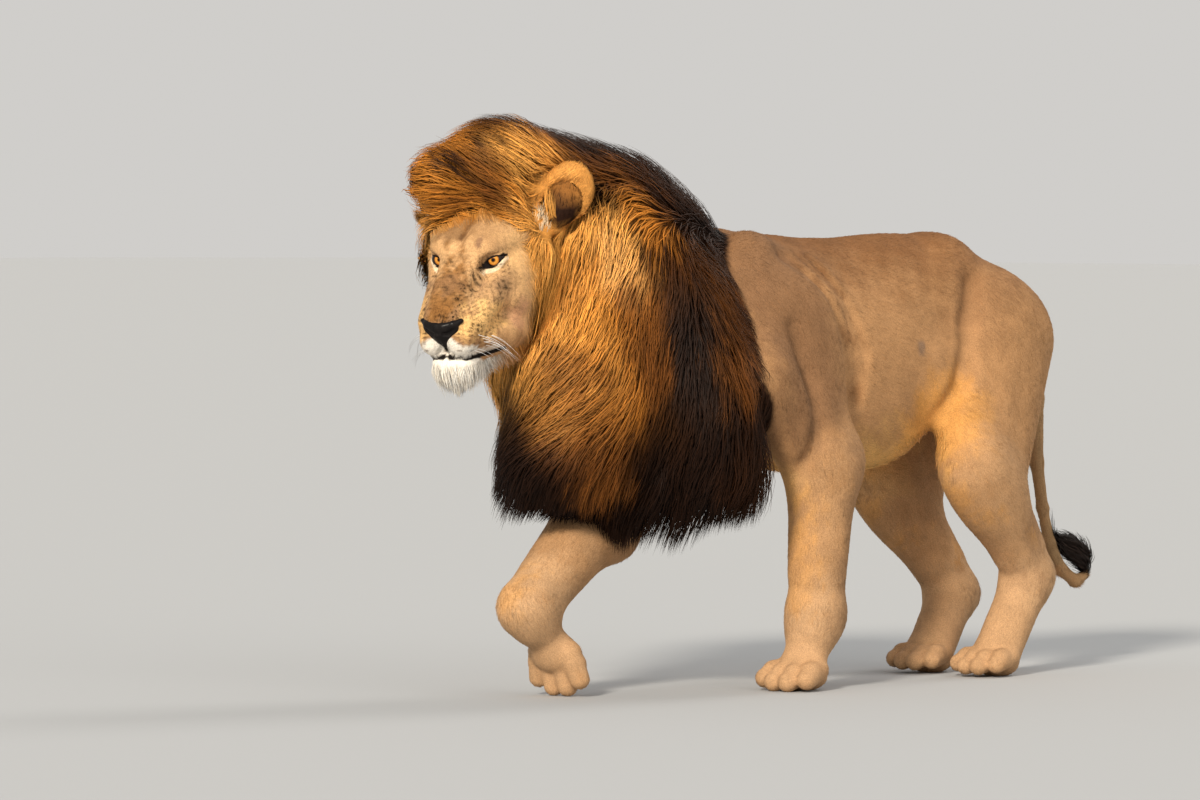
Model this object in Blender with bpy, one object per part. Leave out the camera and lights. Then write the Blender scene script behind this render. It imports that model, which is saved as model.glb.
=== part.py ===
"""A walking adult male lion, life size, as a still model parted into its named regions.

Metres, +Z up. The lion faces -Y and its left side is +X. Run with
    blender --background --python part.py
The form is built from named muscles and bones: tapered limbs between joints and balls of flesh, blended
into one skin. The outline is that of the coat, tips included. It is then parted along thin cuts.
"""

import math

import bmesh
import bpy
import numpy as np
from mathutils import Matrix, Vector

# ---------------------------------------------------------------- driving sizes
CUT = 0.0004  # gap that parts two neighbouring regions
CLEAR = 0.0006  # how far a form is grown before it is carved out of another
SIDES = (("left", 1), ("right", -1))

# Segment lengths of the limbs, the same on both sides.
FORE = {"upper": 0.300, "forearm": 0.335, "carpus": 0.130, "toes": 0.075}
HIND = {"thigh": 0.358, "shank": 0.340, "metatarsus": 0.218, "toes": 0.082}

# Each limb: the joint it starts from, then for each segment a forward swing in degrees and a sideways lean.
LIMBS = {
    "fore_left": (FORE, (0.150, -0.205, 0.690), (-50, 2.0, 24, 72), (0.02, -0.06, 0.0, 0.0)),
    "fore_right": (FORE, (-0.150, -0.235, 0.637), (26, 58, -42, -15), (-0.02, 0.10, 0.0, 0.0)),
    "hind_left": (HIND, (0.100, 0.645, 0.800), (21, -43.5, 32, 78), (0.20, -0.12, 0.0, 0.0)),
    "hind_right": (HIND, (-0.100, 0.650, 0.785), (12.5, -41, 48, 80), (-0.13, 0.045, 0.30, 0.10)),
}

# The head: its eye midpoint, and its turn to the left and its nod, in degrees.
EYE_MIDPOINT = Vector((-0.162, -0.800, 0.947))
HEAD_TURN, HEAD_NOD = 17.5, 15.0
HEAD = (
    Matrix.Translation(EYE_MIDPOINT)
    @ Matrix.Rotation(math.radians(HEAD_TURN), 4, "Z")
    @ Matrix.Rotation(math.radians(HEAD_NOD), 4, "X")
)
EYE = {"spread": 0.064, "depth": 0.008, "radius": 0.0185}


# ---------------------------------------------------------------- tools
def clear_scene():
    for thing in list(bpy.data.objects):
        bpy.data.objects.remove(thing)


def bake(solid):
    """Applies the modifiers."""
    graph = bpy.context.evaluated_depsgraph_get()
    made = bpy.data.meshes.new_from_object(solid.evaluated_get(graph))
    solid.modifiers.clear()
    old = solid.data
    solid.data = made
    bpy.data.meshes.remove(old)


def new_object(name, mesh_data):
    """An object holding the bmesh, which it frees."""
    mesh = bpy.data.meshes.new(name)
    mesh_data.to_mesh(mesh)
    mesh_data.free()
    solid = bpy.data.objects.new(name, mesh)
    bpy.context.scene.collection.objects.link(solid)
    return solid


class Form:
    """Flesh gathered as balls and limbs, which fused() blends into one closed surface.

    frame places the form; its own axes are x to the left, y to the back and z up.
    """

    def __init__(self, blend, frame=None):
        self.blend = blend
        self.frame = frame or Matrix.Identity(4)
        self.steps = []

    def ball(self, centre, radii, pitch=0.0, yaw=0.0, roll=0.0, blend=None):
        self._add_ball(1, centre, radii, pitch, yaw, roll, blend)

    def hollow(self, centre, radii, pitch=0.0, yaw=0.0, roll=0.0, blend=None):
        """A soft dent of that shape in all that was added before it."""
        self._add_ball(-1, centre, radii, pitch, yaw, roll, blend)

    def limb(self, start, end, start_radius, end_radius, flat=1.0, blend=None):
        """A tapered limb with round ends; flat below 1 narrows it sideways."""
        shape = ("limb", Vector(start), Vector(end), start_radius, end_radius, flat)
        self.steps.append((1, shape, blend or self.blend))

    def chain(self, points, radii, flat=1.0, blend=None):
        for i in range(len(points) - 1):
            self.limb(points[i], points[i + 1], radii[i], radii[i + 1], flat, blend)

    def _add_ball(self, sign, centre, radii, pitch, yaw, roll, blend):
        turn = Matrix.Rotation(math.radians(yaw), 3, "Z")
        turn = turn @ Matrix.Rotation(math.radians(pitch), 3, "X")
        turn = turn @ Matrix.Rotation(math.radians(roll), 3, "Y")
        self.steps.append((sign, ("ball", Vector(centre), tuple(radii), turn), blend or self.blend))

    @staticmethod
    def _shape_distance(shape, points):
        if shape[0] == "ball":
            _, centre, radii, turn = shape
            local = (points - np.array(centre)) @ np.array(turn)
            scaled = local / radii
            near = np.linalg.norm(scaled, axis=1)
            slope = np.linalg.norm(scaled / radii, axis=1)
            return near * (near - 1.0) / np.maximum(slope, 1e-9)
        _, start, end, start_radius, end_radius, flat = shape
        narrow = np.array((1.0 / flat, 1.0, 1.0))
        start, end = np.array(start) * narrow, np.array(end) * narrow
        along = end - start
        share = np.clip(((points * narrow - start) @ along) / (along @ along), 0.0, 1.0)
        nearest = start + share[:, None] * along
        radius = start_radius + share * (end_radius - start_radius)
        return np.linalg.norm(points * narrow - nearest, axis=1) - radius

    def distance(self, points):
        """Distance from the blended surface, about zero on it and negative inside."""
        total = None
        for sign, shape, blend in self.steps:
            found = self._shape_distance(shape, points)
            if total is None:
                total = found
                continue
            total, found = sign * total, found
            near = np.maximum(blend - np.abs(total - found), 0.0) / blend
            total = sign * (np.minimum(total, found) - near * near * blend / 4)
        return total

    def settle(self, mesh, rounds, reach):
        """Moves the mesh's vertices onto the blended surface, by no more than reach in a round."""
        points = np.empty(len(mesh.vertices) * 3)
        mesh.vertices.foreach_get("co", points)
        points = points.reshape(-1, 3)
        step = 5e-4
        for _ in range(rounds):
            here = self.distance(points)
            slope = np.stack(
                [self.distance(points + step * np.eye(3)[axis]) - here for axis in range(3)], axis=1
            )
            slope /= step
            steep = np.maximum(np.linalg.norm(slope, axis=1), 0.5)
            move = np.clip(here / steep, -reach, reach) / steep
            points = points - move[:, None] * slope
        mesh.vertices.foreach_set("co", points.ravel())
        mesh.update()

    def rough(self):
        """The balls and limbs themselves, overlapping."""
        gathered = bmesh.new()
        for sign, shape, _ in self.steps:
            if sign < 0:
                continue
            if shape[0] == "ball":
                _, centre, radii, turn = shape
                size = Matrix.Diagonal((*radii, 1.0))
                where = Matrix.Translation(centre) @ turn.to_4x4() @ size
                bmesh.ops.create_icosphere(gathered, subdivisions=4, radius=1.0, matrix=where)
                continue
            _, start, end, start_radius, end_radius, flat = shape
            one = bmesh.new()
            for point, radius in ((start, start_radius), (end, end_radius)):
                where = Matrix.Translation(point) @ Matrix.Diagonal((flat, 1.0, 1.0, 1.0))
                bmesh.ops.create_icosphere(one, subdivisions=3, radius=radius, matrix=where)
            hull = bmesh.ops.convex_hull(one, input=one.verts)
            inner = [v for v in hull["geom_interior"] if isinstance(v, bmesh.types.BMVert)]
            bmesh.ops.delete(one, geom=inner, context="VERTS")
            shell = bpy.data.meshes.new("shell")
            one.to_mesh(shell)
            one.free()
            gathered.from_mesh(shell)
            bpy.data.meshes.remove(shell)
        return gathered

    def fused(self, name, voxel, triangles):
        """One closed surface of about that many triangles."""
        solid = new_object(name, self.rough())
        remesh = solid.modifiers.new("fuse", "REMESH")
        remesh.mode = "VOXEL"
        remesh.voxel_size = voxel
        bake(solid)
        self.settle(solid.data, 5, voxel)
        relax = solid.modifiers.new("relax", "SMOOTH")
        relax.factor = 0.5
        relax.iterations = 2
        bake(solid)
        count = sum(len(face.vertices) - 2 for face in solid.data.polygons)
        thin = solid.modifiers.new("thin", "DECIMATE")
        thin.ratio = min(1.0, triangles / count)
        bake(solid)
        keep_largest(solid)
        solid.data.transform(self.frame)
        return solid


def limb_points(name):
    """The joints of a limb, from its start to its toe tips."""
    lengths, start, swings, leans = LIMBS[name]
    points = [Vector(start)]
    for length, swing, lean in zip(lengths.values(), swings, leans):
        angle = math.radians(swing)
        along = Vector((lean, -math.sin(angle), -math.cos(angle))).normalized()
        points.append(points[-1] + along * length)
    return points


def between(start, end, share):
    return start.lerp(end, share)


# ---------------------------------------------------------------- trunk and limbs
def add_trunk(form):
    form.ball((0.0, 0.00, 0.745), (0.150, 0.27, 0.235))  # ribcage
    form.ball((0.0, 0.20, 0.712), (0.172, 0.29, 0.255))  # barrel
    form.ball((0.0, 0.37, 0.725), (0.140, 0.21, 0.240))  # belly
    form.ball((0.0, 0.48, 0.860), (0.110, 0.28, 0.118))  # loins
    form.limb((0.0, -0.10, 0.925), (0.0, 0.56, 0.930), 0.055, 0.062)  # back
    form.limb((0.0, -0.22, 0.600), (0.0, 0.10, 0.565), 0.105, 0.075)  # breast
    form.limb((0.0, -0.05, 0.800), (-0.12, -0.38, 0.90), 0.180, 0.150)  # root of the neck
    for _, side in SIDES:
        form.limb((side * 0.055, 0.555, 0.918), (side * 0.032, 0.720, 0.792), 0.062, 0.050)  # croup
        form.ball((side * 0.082, 0.655, 0.762), (0.078, 0.130, 0.112), pitch=-20)  # buttock
        form.limb((side * 0.10, 0.42, 0.70), (side * 0.15, 0.50, 0.56), 0.050, 0.035)  # flank fold
    form.limb((0.0, 0.80, 0.730), (0.0, 0.812, 0.655), 0.038, 0.042, blend=0.03)  # scrotum


def add_foreleg(form, name, side):
    shoulder, elbow, wrist, ball, _ = limb_points(name)
    scapula_top = Vector((side * 0.062, -0.130, 0.950))
    scapula_rear = Vector((side * 0.100, 0.000, 0.850))
    back = Vector((0.0, 1.0, 0.0))
    along = (wrist - elbow).normalized()
    behind = (back - along * along.dot(back)).normalized()
    point = elbow + behind * 0.047 - along * 0.015
    form.limb(scapula_top, shoulder, 0.052, 0.075, 0.8)  # blade
    form.limb(scapula_rear, between(shoulder, elbow, 0.7), 0.070, 0.075, 0.8)  # back of the blade
    form.limb(shoulder, elbow, 0.082, 0.066, 0.9)  # upper arm
    form.limb(between(scapula_rear, shoulder, 0.3), between(elbow, point, 0.5), 0.095, 0.050, 0.72)  # triceps
    form.ball(point, (0.032, 0.032, 0.040), blend=0.04)  # point of the elbow
    form.limb(elbow - behind * 0.006, wrist - behind * 0.004, 0.068, 0.051, 0.94)  # forearm
    upper, lower = between(elbow, wrist, 0.05), between(elbow, wrist, 0.7)
    form.limb(upper - behind * 0.027, lower - behind * 0.020, 0.062, 0.050)
    form.ball(wrist - behind * 0.010, (0.053, 0.053, 0.056), blend=0.04)
    form.ball(wrist + behind * 0.029 + along * 0.012, (0.019, 0.020, 0.022), blend=0.03)  # wrist pad
    form.limb(wrist - behind * 0.004, ball, 0.048, 0.046)


def add_hindleg(form, name, side):
    hip, knee, hock, ball, _ = limb_points(name)
    seat = Vector((side * 0.072, 0.795, 0.745))
    along = (ball - hock).normalized()
    back = Vector((0.0, 1.0, 0.0))
    behind = (back - along * along.dot(back)).normalized()
    heel = hock + behind * 0.042 - along * 0.020
    calf = between(knee, hock, 0.42) + Vector((0.0, 0.030, 0.015))
    form.limb(hip, knee, 0.120, 0.070, 0.72)  # thigh
    form.limb(seat, between(knee, calf, 0.7), 0.090, 0.066, 0.72)  # back of the thigh
    form.limb(between(seat, hip, 0.45), between(knee, hock, 0.22), 0.115, 0.074, 0.72)
    front = between(hip, knee, 0.8) - Vector((0, 0.030, 0))
    form.limb((side * 0.085, 0.500, 0.870), front, 0.050, 0.042, 0.7)
    form.ball(knee - Vector((0.0, 0.008, 0.0)), (0.048, 0.052, 0.060))
    form.limb(knee, hock, 0.062, 0.042, 0.9)  # shin
    form.limb(knee - behind * 0.016, between(knee, hock, 0.8) - behind * 0.012, 0.055, 0.041, 0.85)
    form.limb(between(knee, calf, 0.35), between(calf, heel, 0.55), 0.054, 0.032, 0.85)  # calf
    form.limb(between(calf, heel, 0.3), heel, 0.030, 0.024, blend=0.04)  # heel cord
    form.ball(heel, (0.030, 0.031, 0.034), blend=0.04)
    form.ball(hock, (0.044, 0.050, 0.050), blend=0.04)
    form.limb(hock, ball, 0.043, 0.042, blend=0.04)
    upper, lower = between(hock, ball, 0.2), between(hock, ball, 0.8)
    form.limb(upper + behind * 0.016, lower + behind * 0.008, 0.036, 0.036)


def add_paw(form, name):
    """Four toes with their knuckles and the heel pad, under the last bones of the limb."""
    _, _, _, ball, tip = limb_points(name)
    fore = name.startswith("fore")
    spread = 0.036 if fore else 0.033
    size = 1.0 if fore else 0.93
    along = tip - ball
    form.ball(ball, (0.064 * size, 0.044 * size, 0.042 * size), blend=0.03)
    for order in (-1.5, -0.5, 0.5, 1.5):
        reach = 1.0 if abs(order) < 1 else 0.76
        root = ball + Vector((order * spread * 0.80, 0.0, 0.002))
        end = ball + along * reach + Vector((order * spread * 1.10, 0.0, 0.0))
        form.limb(root, end, 0.030 * size, 0.026 * size, blend=0.012)
        knuckle = between(root, end, 0.62) + Vector((0.0, 0.0, 0.014))
        form.ball(knuckle, (0.023 * size, 0.027 * size, 0.021 * size), blend=0.012)
    form.ball(ball + Vector((0.0, 0.020, -0.018)), (0.050 * size, 0.034, 0.027), blend=0.02)  # heel pad


def build_body():
    form = Form(0.07)
    add_trunk(form)
    for word, side in SIDES:
        add_foreleg(form, "fore_" + word, side)
        add_hindleg(form, "hind_" + word, side)
    for kind in ("fore_", "hind_"):
        for word, _ in SIDES:
            add_paw(form, kind + word)
    return form.fused("body", 0.0075, 3000)


# ---------------------------------------------------------------- the head
def build_head():
    form = Form(0.030, HEAD)
    form.ball((0.0, 0.110, 0.020), (0.092, 0.135, 0.082))  # skull
    form.ball((0.0, 0.012, 0.022), (0.062, 0.050, 0.045))  # brow
    form.ball((0.0, -0.092, -0.098), (0.054, 0.088, 0.049))  # muzzle
    form.ball((0.0, -0.156, -0.106), (0.044, 0.022, 0.032))  # nose
    form.ball((0.0, -0.114, -0.208), (0.045, 0.050, 0.052))  # chin and beard
    form.ball((0.0, 0.030, -0.140), (0.075, 0.100, 0.065))  # throat
    for _, side in SIDES:
        form.limb((side * 0.022, 0.0, 0.010), (side * 0.021, -0.142, -0.084), 0.036, 0.024)  # bridge
        form.limb((side * 0.056, 0.004, 0.030), (side * 0.080, 0.10, 0.035), 0.026, 0.042)  # brow ridge
        form.limb((side * 0.069, 0.030, -0.030), (side * 0.102, 0.13, -0.015), 0.033, 0.045)  # cheekbone
        form.ball((side * 0.076, 0.085, -0.075), (0.051, 0.085, 0.079))  # cheek
        form.ball((side * 0.034, -0.122, -0.132), (0.037, 0.050, 0.040))  # lip pad
        form.limb((side * 0.026, -0.085, -0.190), (side * 0.072, 0.08, -0.135), 0.036, 0.048)  # jaw
        form.limb((side * 0.060, 0.0, -0.045), (side * 0.046, -0.100, -0.105), 0.033, 0.032)  # face
        form.hollow((side * 0.072, -0.026, 0.002), (0.024, 0.032, 0.017), yaw=side * 20, blend=0.01)  # socket
    return form.fused("head", 0.0045, 900)


def on_head(left, back, up):
    return HEAD @ Vector((left, back, up))


def build_mane():
    form = Form(0.09)
    form.ball((-0.200, -0.650, 1.066), (0.152, 0.157, 0.197))  # crown
    form.ball((-0.170, -0.500, 1.036), (0.150, 0.190, 0.190))  # nape
    form.ball((-0.100, -0.370, 0.935), (0.195, 0.190, 0.246))  # neck
    form.ball((-0.030, -0.240, 0.960), (0.100, 0.110, 0.126))  # crest before the withers
    form.ball((-0.085, -0.440, 0.680), (0.205, 0.240, 0.240))  # throat
    form.ball((-0.110, -0.500, 0.520), (0.165, 0.200, 0.130))  # breast
    form.ball((0.060, -0.320, 0.780), (0.120, 0.110, 0.180))  # near side of the neck
    form.ball((0.105, -0.320, 0.600), (0.110, 0.110, 0.180))  # before the near shoulder
    form.ball((-0.190, -0.330, 0.660), (0.090, 0.130, 0.230))  # before the far shoulder
    form.ball((-0.245, -0.480, 0.800), (0.110, 0.160, 0.200))  # far side of the neck
    face = on_head(0.035, -0.10, -0.040)
    form.hollow(face, (0.165, 0.205, 0.175), yaw=HEAD_TURN, pitch=HEAD_NOD, blend=0.04)
    form.ball(on_head(-0.062, 0.074, 0.154), (0.084, 0.080, 0.092), blend=0.06)  # forelock
    for _, side in SIDES:
        form.ball(on_head(side * 0.100, 0.240, -0.090), (0.090, 0.110, 0.130))  # ruff
        form.ball(on_head(side * 0.115, 0.115, 0.000), (0.030, 0.050, 0.110), blend=0.05)  # whiskers
        form.hollow(on_head(side * 0.185, 0.170, 0.095), (0.066, 0.066, 0.070), blend=0.03)  # by the ear
    form.limb((0.14, -0.29, 0.60), (0.155, -0.240, 0.45), 0.080, 0.030)
    form.limb((0.00, -0.36, 0.46), (0.120, -0.280, 0.46), 0.075, 0.060)
    form.limb((0.04, -0.32, 0.46), (0.045, -0.365, 0.335), 0.070, 0.014)
    form.limb((-0.03, -0.40, 0.42), (-0.02, -0.45, 0.33), 0.060, 0.012)
    form.limb((-0.16, -0.60, 0.50), (-0.198, -0.668, 0.395), 0.070, 0.020)
    return form.fused("neck_mane", 0.013, 650)


def build_ear(name, side):
    form = Form(0.02, HEAD)
    tilt = {"yaw": side * 22, "roll": side * 24, "pitch": -8}
    form.ball((side * 0.158, 0.210, 0.098), (0.058, 0.025, 0.068), **tilt)
    form.limb((side * 0.124, 0.180, 0.040), (side * 0.152, 0.205, 0.085), 0.038, 0.032)
    form.hollow((side * 0.160, 0.174, 0.088), (0.041, 0.035, 0.050), blend=0.012, **tilt)
    return form.fused(name, 0.005, 170)


def build_eye(name, side):
    ball = bmesh.new()
    where = Matrix.Translation(on_head(side * EYE["spread"], EYE["depth"], 0.0))
    bmesh.ops.create_icosphere(ball, subdivisions=2, radius=EYE["radius"], matrix=where)
    for face in ball.faces:
        face.smooth = True
    return new_object(name, ball)


# ---------------------------------------------------------------- the tail
TAIL = (
    ((0.0, 0.818, 0.815), 0.037),
    ((0.0, 0.900, 0.732), 0.028),
    ((0.0, 0.940, 0.620), 0.024),
    ((0.0, 0.947, 0.470), 0.019),
    ((0.0, 0.968, 0.365), 0.017),
    ((0.0, 0.992, 0.285), 0.017),
    ((0.0, 1.034, 0.222), 0.018),
    ((0.0, 1.088, 0.192), 0.018),
    ((0.0, 1.128, 0.206), 0.014),
)
TUFT = (
    ((0.0, 1.134, 0.216), 0.012),
    ((0.0, 1.112, 0.248), 0.028),
    ((0.0, 1.072, 0.272), 0.030),
    ((0.0, 1.018, 0.296), 0.008),
)


def build_tail():
    form = Form(0.012)
    form.chain([point for point, _ in TAIL], [radius for _, radius in TAIL])
    return form.fused("tail_base", 0.0045, 380)


def build_tuft():
    form = Form(0.015)
    form.chain([point for point, _ in TUFT], [radius for _, radius in TUFT])
    return form.fused("tail_tuft", 0.0045, 120)


# ---------------------------------------------------------------- parting
def box(spans, grown=0.0, frame=None):
    """A box over the three (low, high) spans of the frame's axes."""
    low = Vector([span[0] - grown for span in spans])
    high = Vector([span[1] + grown for span in spans])
    shape = bmesh.new()
    where = Matrix.Translation((low + high) / 2) @ Matrix.Diagonal((*(high - low), 1.0))
    if frame:
        where = frame @ where
    bmesh.ops.create_cube(shape, size=1.0, matrix=where)
    return new_object("cutter", shape)


def copy_of(solid, name):
    made = solid.copy()
    made.data = solid.data.copy()
    made.name = name
    bpy.context.scene.collection.objects.link(made)
    return made


def remove(solid):
    mesh = solid.data
    bpy.data.objects.remove(solid)
    bpy.data.meshes.remove(mesh)


def combine(solid, cutter, operation):
    step = solid.modifiers.new("cut", "BOOLEAN")
    step.operation = operation
    step.object = cutter
    bake(solid)


def carve(solid, other):
    """Takes the other solid out of this one, grown first, then as it is where its creases didn't grow."""
    grown = copy_of(other, "grown")
    step = grown.modifiers.new("grow", "DISPLACE")
    step.strength = CLEAR
    step.mid_level = 0.0
    bake(grown)
    combine(solid, grown, "DIFFERENCE")
    combine(solid, other, "DIFFERENCE")
    remove(grown)
    keep_largest(solid)


def keep_largest(solid):
    """Drops the crumbs that a cut may leave beside the main piece."""
    whole = bmesh.new()
    whole.from_mesh(solid.data)
    waiting = set(whole.verts)
    pieces = []
    while waiting:
        piece = set()
        front = [waiting.pop()]
        while front:
            vert = front.pop()
            piece.add(vert)
            for edge in vert.link_edges:
                other = edge.other_vert(vert)
                if other in waiting:
                    waiting.remove(other)
                    front.append(other)
        pieces.append(piece)
    pieces.sort(key=len, reverse=True)
    for piece in pieces[1:]:
        bmesh.ops.delete(whole, geom=list(piece), context="VERTS")
    whole.to_mesh(solid.data)
    whole.free()


def part_off(whole, name, spans, frame=None):
    """Moves what lies in the box to a node of its own, with a gap all round it."""
    piece = copy_of(whole, name)
    inner = box(spans, 0.0, frame)
    outer = box(spans, CUT, frame)
    combine(piece, inner, "INTERSECT")
    combine(whole, outer, "DIFFERENCE")
    remove(inner)
    remove(outer)
    keep_largest(piece)
    keep_largest(whole)
    return piece


FAR = 3.0  # beyond every part of the animal
BODY_PARTS = (
    # name, x span, y span, z span; a part is taken from what the ones before it have left
    ("hind_paw_left", (0.03, FAR), (0.40, FAR), (-FAR, 0.085)),
    ("hind_paw_right", (-FAR, 0.03), (0.40, FAR), (-FAR, 0.085)),
    ("hind_foot_left", (0.03, FAR), (0.40, FAR), (-FAR, 0.205)),
    ("hind_foot_right", (-FAR, 0.03), (0.40, FAR), (-FAR, 0.155)),
    ("shank_left", (0.0, FAR), (0.40, FAR), (-FAR, 0.470)),
    ("shank_right", (-FAR, 0.0), (0.40, FAR), (-FAR, 0.435)),
    ("fore_paw_left", (0.0, FAR), (-FAR, 0.30), (-FAR, 0.095)),
    ("fore_paw_right", (-FAR, 0.0), (-FAR, 0.30), (-FAR, 0.125)),
    ("forearm_left", (0.0, FAR), (-FAR, 0.30), (-FAR, 0.455)),
    ("forearm_right", (-FAR, 0.0), (-FAR, -0.05), (-FAR, 0.455)),
    ("shoulder_left", (0.080, FAR), (-FAR, 0.140), (-FAR, 0.900)),
    ("shoulder_right", (-FAR, -0.080), (-FAR, 0.140), (-FAR, 0.900)),
    ("thigh_left", (0.0, FAR), (0.400, FAR), (-FAR, 0.800)),
    ("thigh_right", (-FAR, 0.0), (0.400, FAR), (-FAR, 0.800)),
    ("pelvis", (-FAR, FAR), (0.400, FAR), (-FAR, FAR)),
    ("abdomen", (-FAR, FAR), (0.140, FAR), (-FAR, FAR)),
)
MANE_PARTS = (
    ("mane_crown", (-FAR, FAR), (-FAR, -0.520), (0.885, FAR)),
    ("chest_mane", (-FAR, FAR), (-FAR, FAR), (-FAR, 0.620)),
)
TAIL_PARTS = (
    ("tail_end", (-FAR, FAR), (-FAR, FAR), (-FAR, 0.330)),
    ("tail_middle", (-FAR, FAR), (-FAR, FAR), (-FAR, 0.600)),
)
HEAD_PARTS = (
    ("nose", (-0.056, 0.056), (-FAR, -0.148), (-0.132, -0.072)),
    ("lower_jaw", (-FAR, FAR), (-FAR, -0.010), (-FAR, -0.158)),
)


def build_lion():
    body = build_body()
    ground = box(((-FAR, FAR), (-FAR, FAR), (-FAR, 0.0)))
    combine(body, ground, "DIFFERENCE")
    remove(ground)
    head = build_head()
    mane = build_mane()
    carve(head, mane)
    carve(body, mane)
    carve(head, body)
    for word, side in SIDES:
        carve(head, build_eye("eye_" + word, side))
        ear = build_ear("ear_" + word, side)
        carve(mane, ear)
        carve(head, ear)
    tail = build_tail()
    carve(tail, body)
    carve(tail, build_tuft())
    for whole, parts in ((body, BODY_PARTS), (mane, MANE_PARTS), (tail, TAIL_PARTS)):
        for name, *spans in parts:
            part_off(whole, name, spans)
    for name, *spans in HEAD_PARTS:
        part_off(head, name, spans, HEAD)
    body.name = "chest"


# ---------------------------------------------------------------- colours
SAND = (0.42, 0.27, 0.15)
PALE = (0.58, 0.42, 0.27)
GOLD = (0.38, 0.19, 0.07)
DARK = (0.055, 0.035, 0.025)
FINISH = {
    # first words of a node's name: colour and roughness
    "mane": (GOLD, 0.85),
    "neck_mane": ((0.22, 0.11, 0.045), 0.85),
    "chest_mane": (DARK, 0.85),
    "head": ((0.50, 0.34, 0.20), 0.80),
    "lower_jaw": ((0.72, 0.65, 0.56), 0.85),
    "nose": ((0.035, 0.028, 0.026), 0.45),
    "ear": ((0.45, 0.27, 0.12), 0.85),
    "eye": ((0.42, 0.20, 0.035), 0.10),
    "tail_tuft": ((0.03, 0.02, 0.016), 0.85),
    "tail": ((0.34, 0.23, 0.14), 0.85),
    "fore_paw": (PALE, 0.80),
    "hind_paw": (PALE, 0.80),
    "hind_foot": (PALE, 0.80),
    "shank": ((0.50, 0.34, 0.20), 0.80),
    "": (SAND, 0.80),
}
SHARP_ANGLE = math.radians(50)  # edges bent more than this stay crisp


def finish(solid):
    """Gives a node its colour and its smooth shading."""
    colour, roughness = next(FINISH[words] for words in FINISH if solid.name.startswith(words))
    material = bpy.data.materials.new(solid.name + "_material")
    material.use_nodes = True
    shader = material.node_tree.nodes["Principled BSDF"]
    shader.inputs["Base Color"].default_value = (*colour, 1.0)
    shader.inputs["Roughness"].default_value = roughness
    shader.inputs["Metallic"].default_value = 0.0
    material.diffuse_color = (*colour, 1.0)
    solid.data.materials.clear()
    solid.data.materials.append(material)
    solid.data.shade_smooth()
    solid.data.set_sharp_from_angle(angle=SHARP_ANGLE)


def centre(solids):
    """Moves the origin to the middle of the overall box, on the ground."""
    points = [vert.co for solid in solids for vert in solid.data.vertices]
    low = Vector([min(point[axis] for point in points) for axis in range(3)])
    high = Vector([max(point[axis] for point in points) for axis in range(3)])
    middle = (low + high) / 2
    for solid in solids:
        solid.data.transform(Matrix.Translation((-middle.x, -middle.y, -low.z)))


def main():
    clear_scene()
    build_lion()
    solids = list(bpy.context.scene.objects)
    centre(solids)
    for solid in solids:
        finish(solid)


main()
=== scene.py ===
# A walking adult male lion, life size: its skin, eyes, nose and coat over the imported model.
import math

import bmesh
import bpy
import numpy as np
from mathutils import Matrix, Vector, kdtree


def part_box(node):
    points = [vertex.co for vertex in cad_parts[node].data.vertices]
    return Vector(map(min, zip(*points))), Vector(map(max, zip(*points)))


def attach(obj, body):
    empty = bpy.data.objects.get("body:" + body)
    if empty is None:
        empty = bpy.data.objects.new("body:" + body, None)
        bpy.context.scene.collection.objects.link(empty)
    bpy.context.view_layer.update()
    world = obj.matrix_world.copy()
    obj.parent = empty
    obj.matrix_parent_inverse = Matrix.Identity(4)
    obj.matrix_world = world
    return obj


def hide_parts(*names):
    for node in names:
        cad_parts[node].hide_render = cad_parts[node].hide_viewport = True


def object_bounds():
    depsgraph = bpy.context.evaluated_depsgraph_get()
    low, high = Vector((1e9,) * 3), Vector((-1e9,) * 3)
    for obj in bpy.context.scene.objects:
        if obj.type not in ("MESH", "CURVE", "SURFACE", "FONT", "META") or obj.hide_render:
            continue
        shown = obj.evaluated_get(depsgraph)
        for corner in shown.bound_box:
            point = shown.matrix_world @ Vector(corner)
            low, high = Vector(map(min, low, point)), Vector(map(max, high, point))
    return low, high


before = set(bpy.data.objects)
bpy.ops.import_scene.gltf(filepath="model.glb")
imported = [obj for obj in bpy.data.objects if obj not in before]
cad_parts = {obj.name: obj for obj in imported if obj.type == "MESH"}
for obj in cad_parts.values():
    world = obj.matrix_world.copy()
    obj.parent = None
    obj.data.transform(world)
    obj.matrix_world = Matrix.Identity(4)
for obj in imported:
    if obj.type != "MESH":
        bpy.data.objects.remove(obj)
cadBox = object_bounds()
scene = bpy.context.scene


# where the animal stands
# The tables below are in the animal's own axes: x to its left, y to the back, z up, the spine at x 0.
stance = {"eyesAt": (-0.162, -0.8, 0.947), "eyeBack": 0.008, "nod": 15.0}


def middleOf(node):
    low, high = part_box(node)
    return (Vector(low) + Vector(high)) / 2


eyeSpots = {word: middleOf("eye_" + word) for word in ("left", "right")}
eyeLine = eyeSpots["left"] - eyeSpots["right"]
turn = math.atan2(eyeLine.y, eyeLine.x)
headTurn = Matrix.Rotation(turn, 4, "Z") @ Matrix.Rotation(math.radians(stance["nod"]), 4, "X")
headSpot = (eyeSpots["left"] + eyeSpots["right"]) / 2 - headTurn @ Vector((0, stance["eyeBack"], 0))
shift = headSpot - Vector(stance["eyesAt"])  # from the animal's own axes to the model's
headPlace = Matrix.Translation(stance["eyesAt"]) @ headTurn
sides = (("left", 1), ("right", -1))


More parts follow.
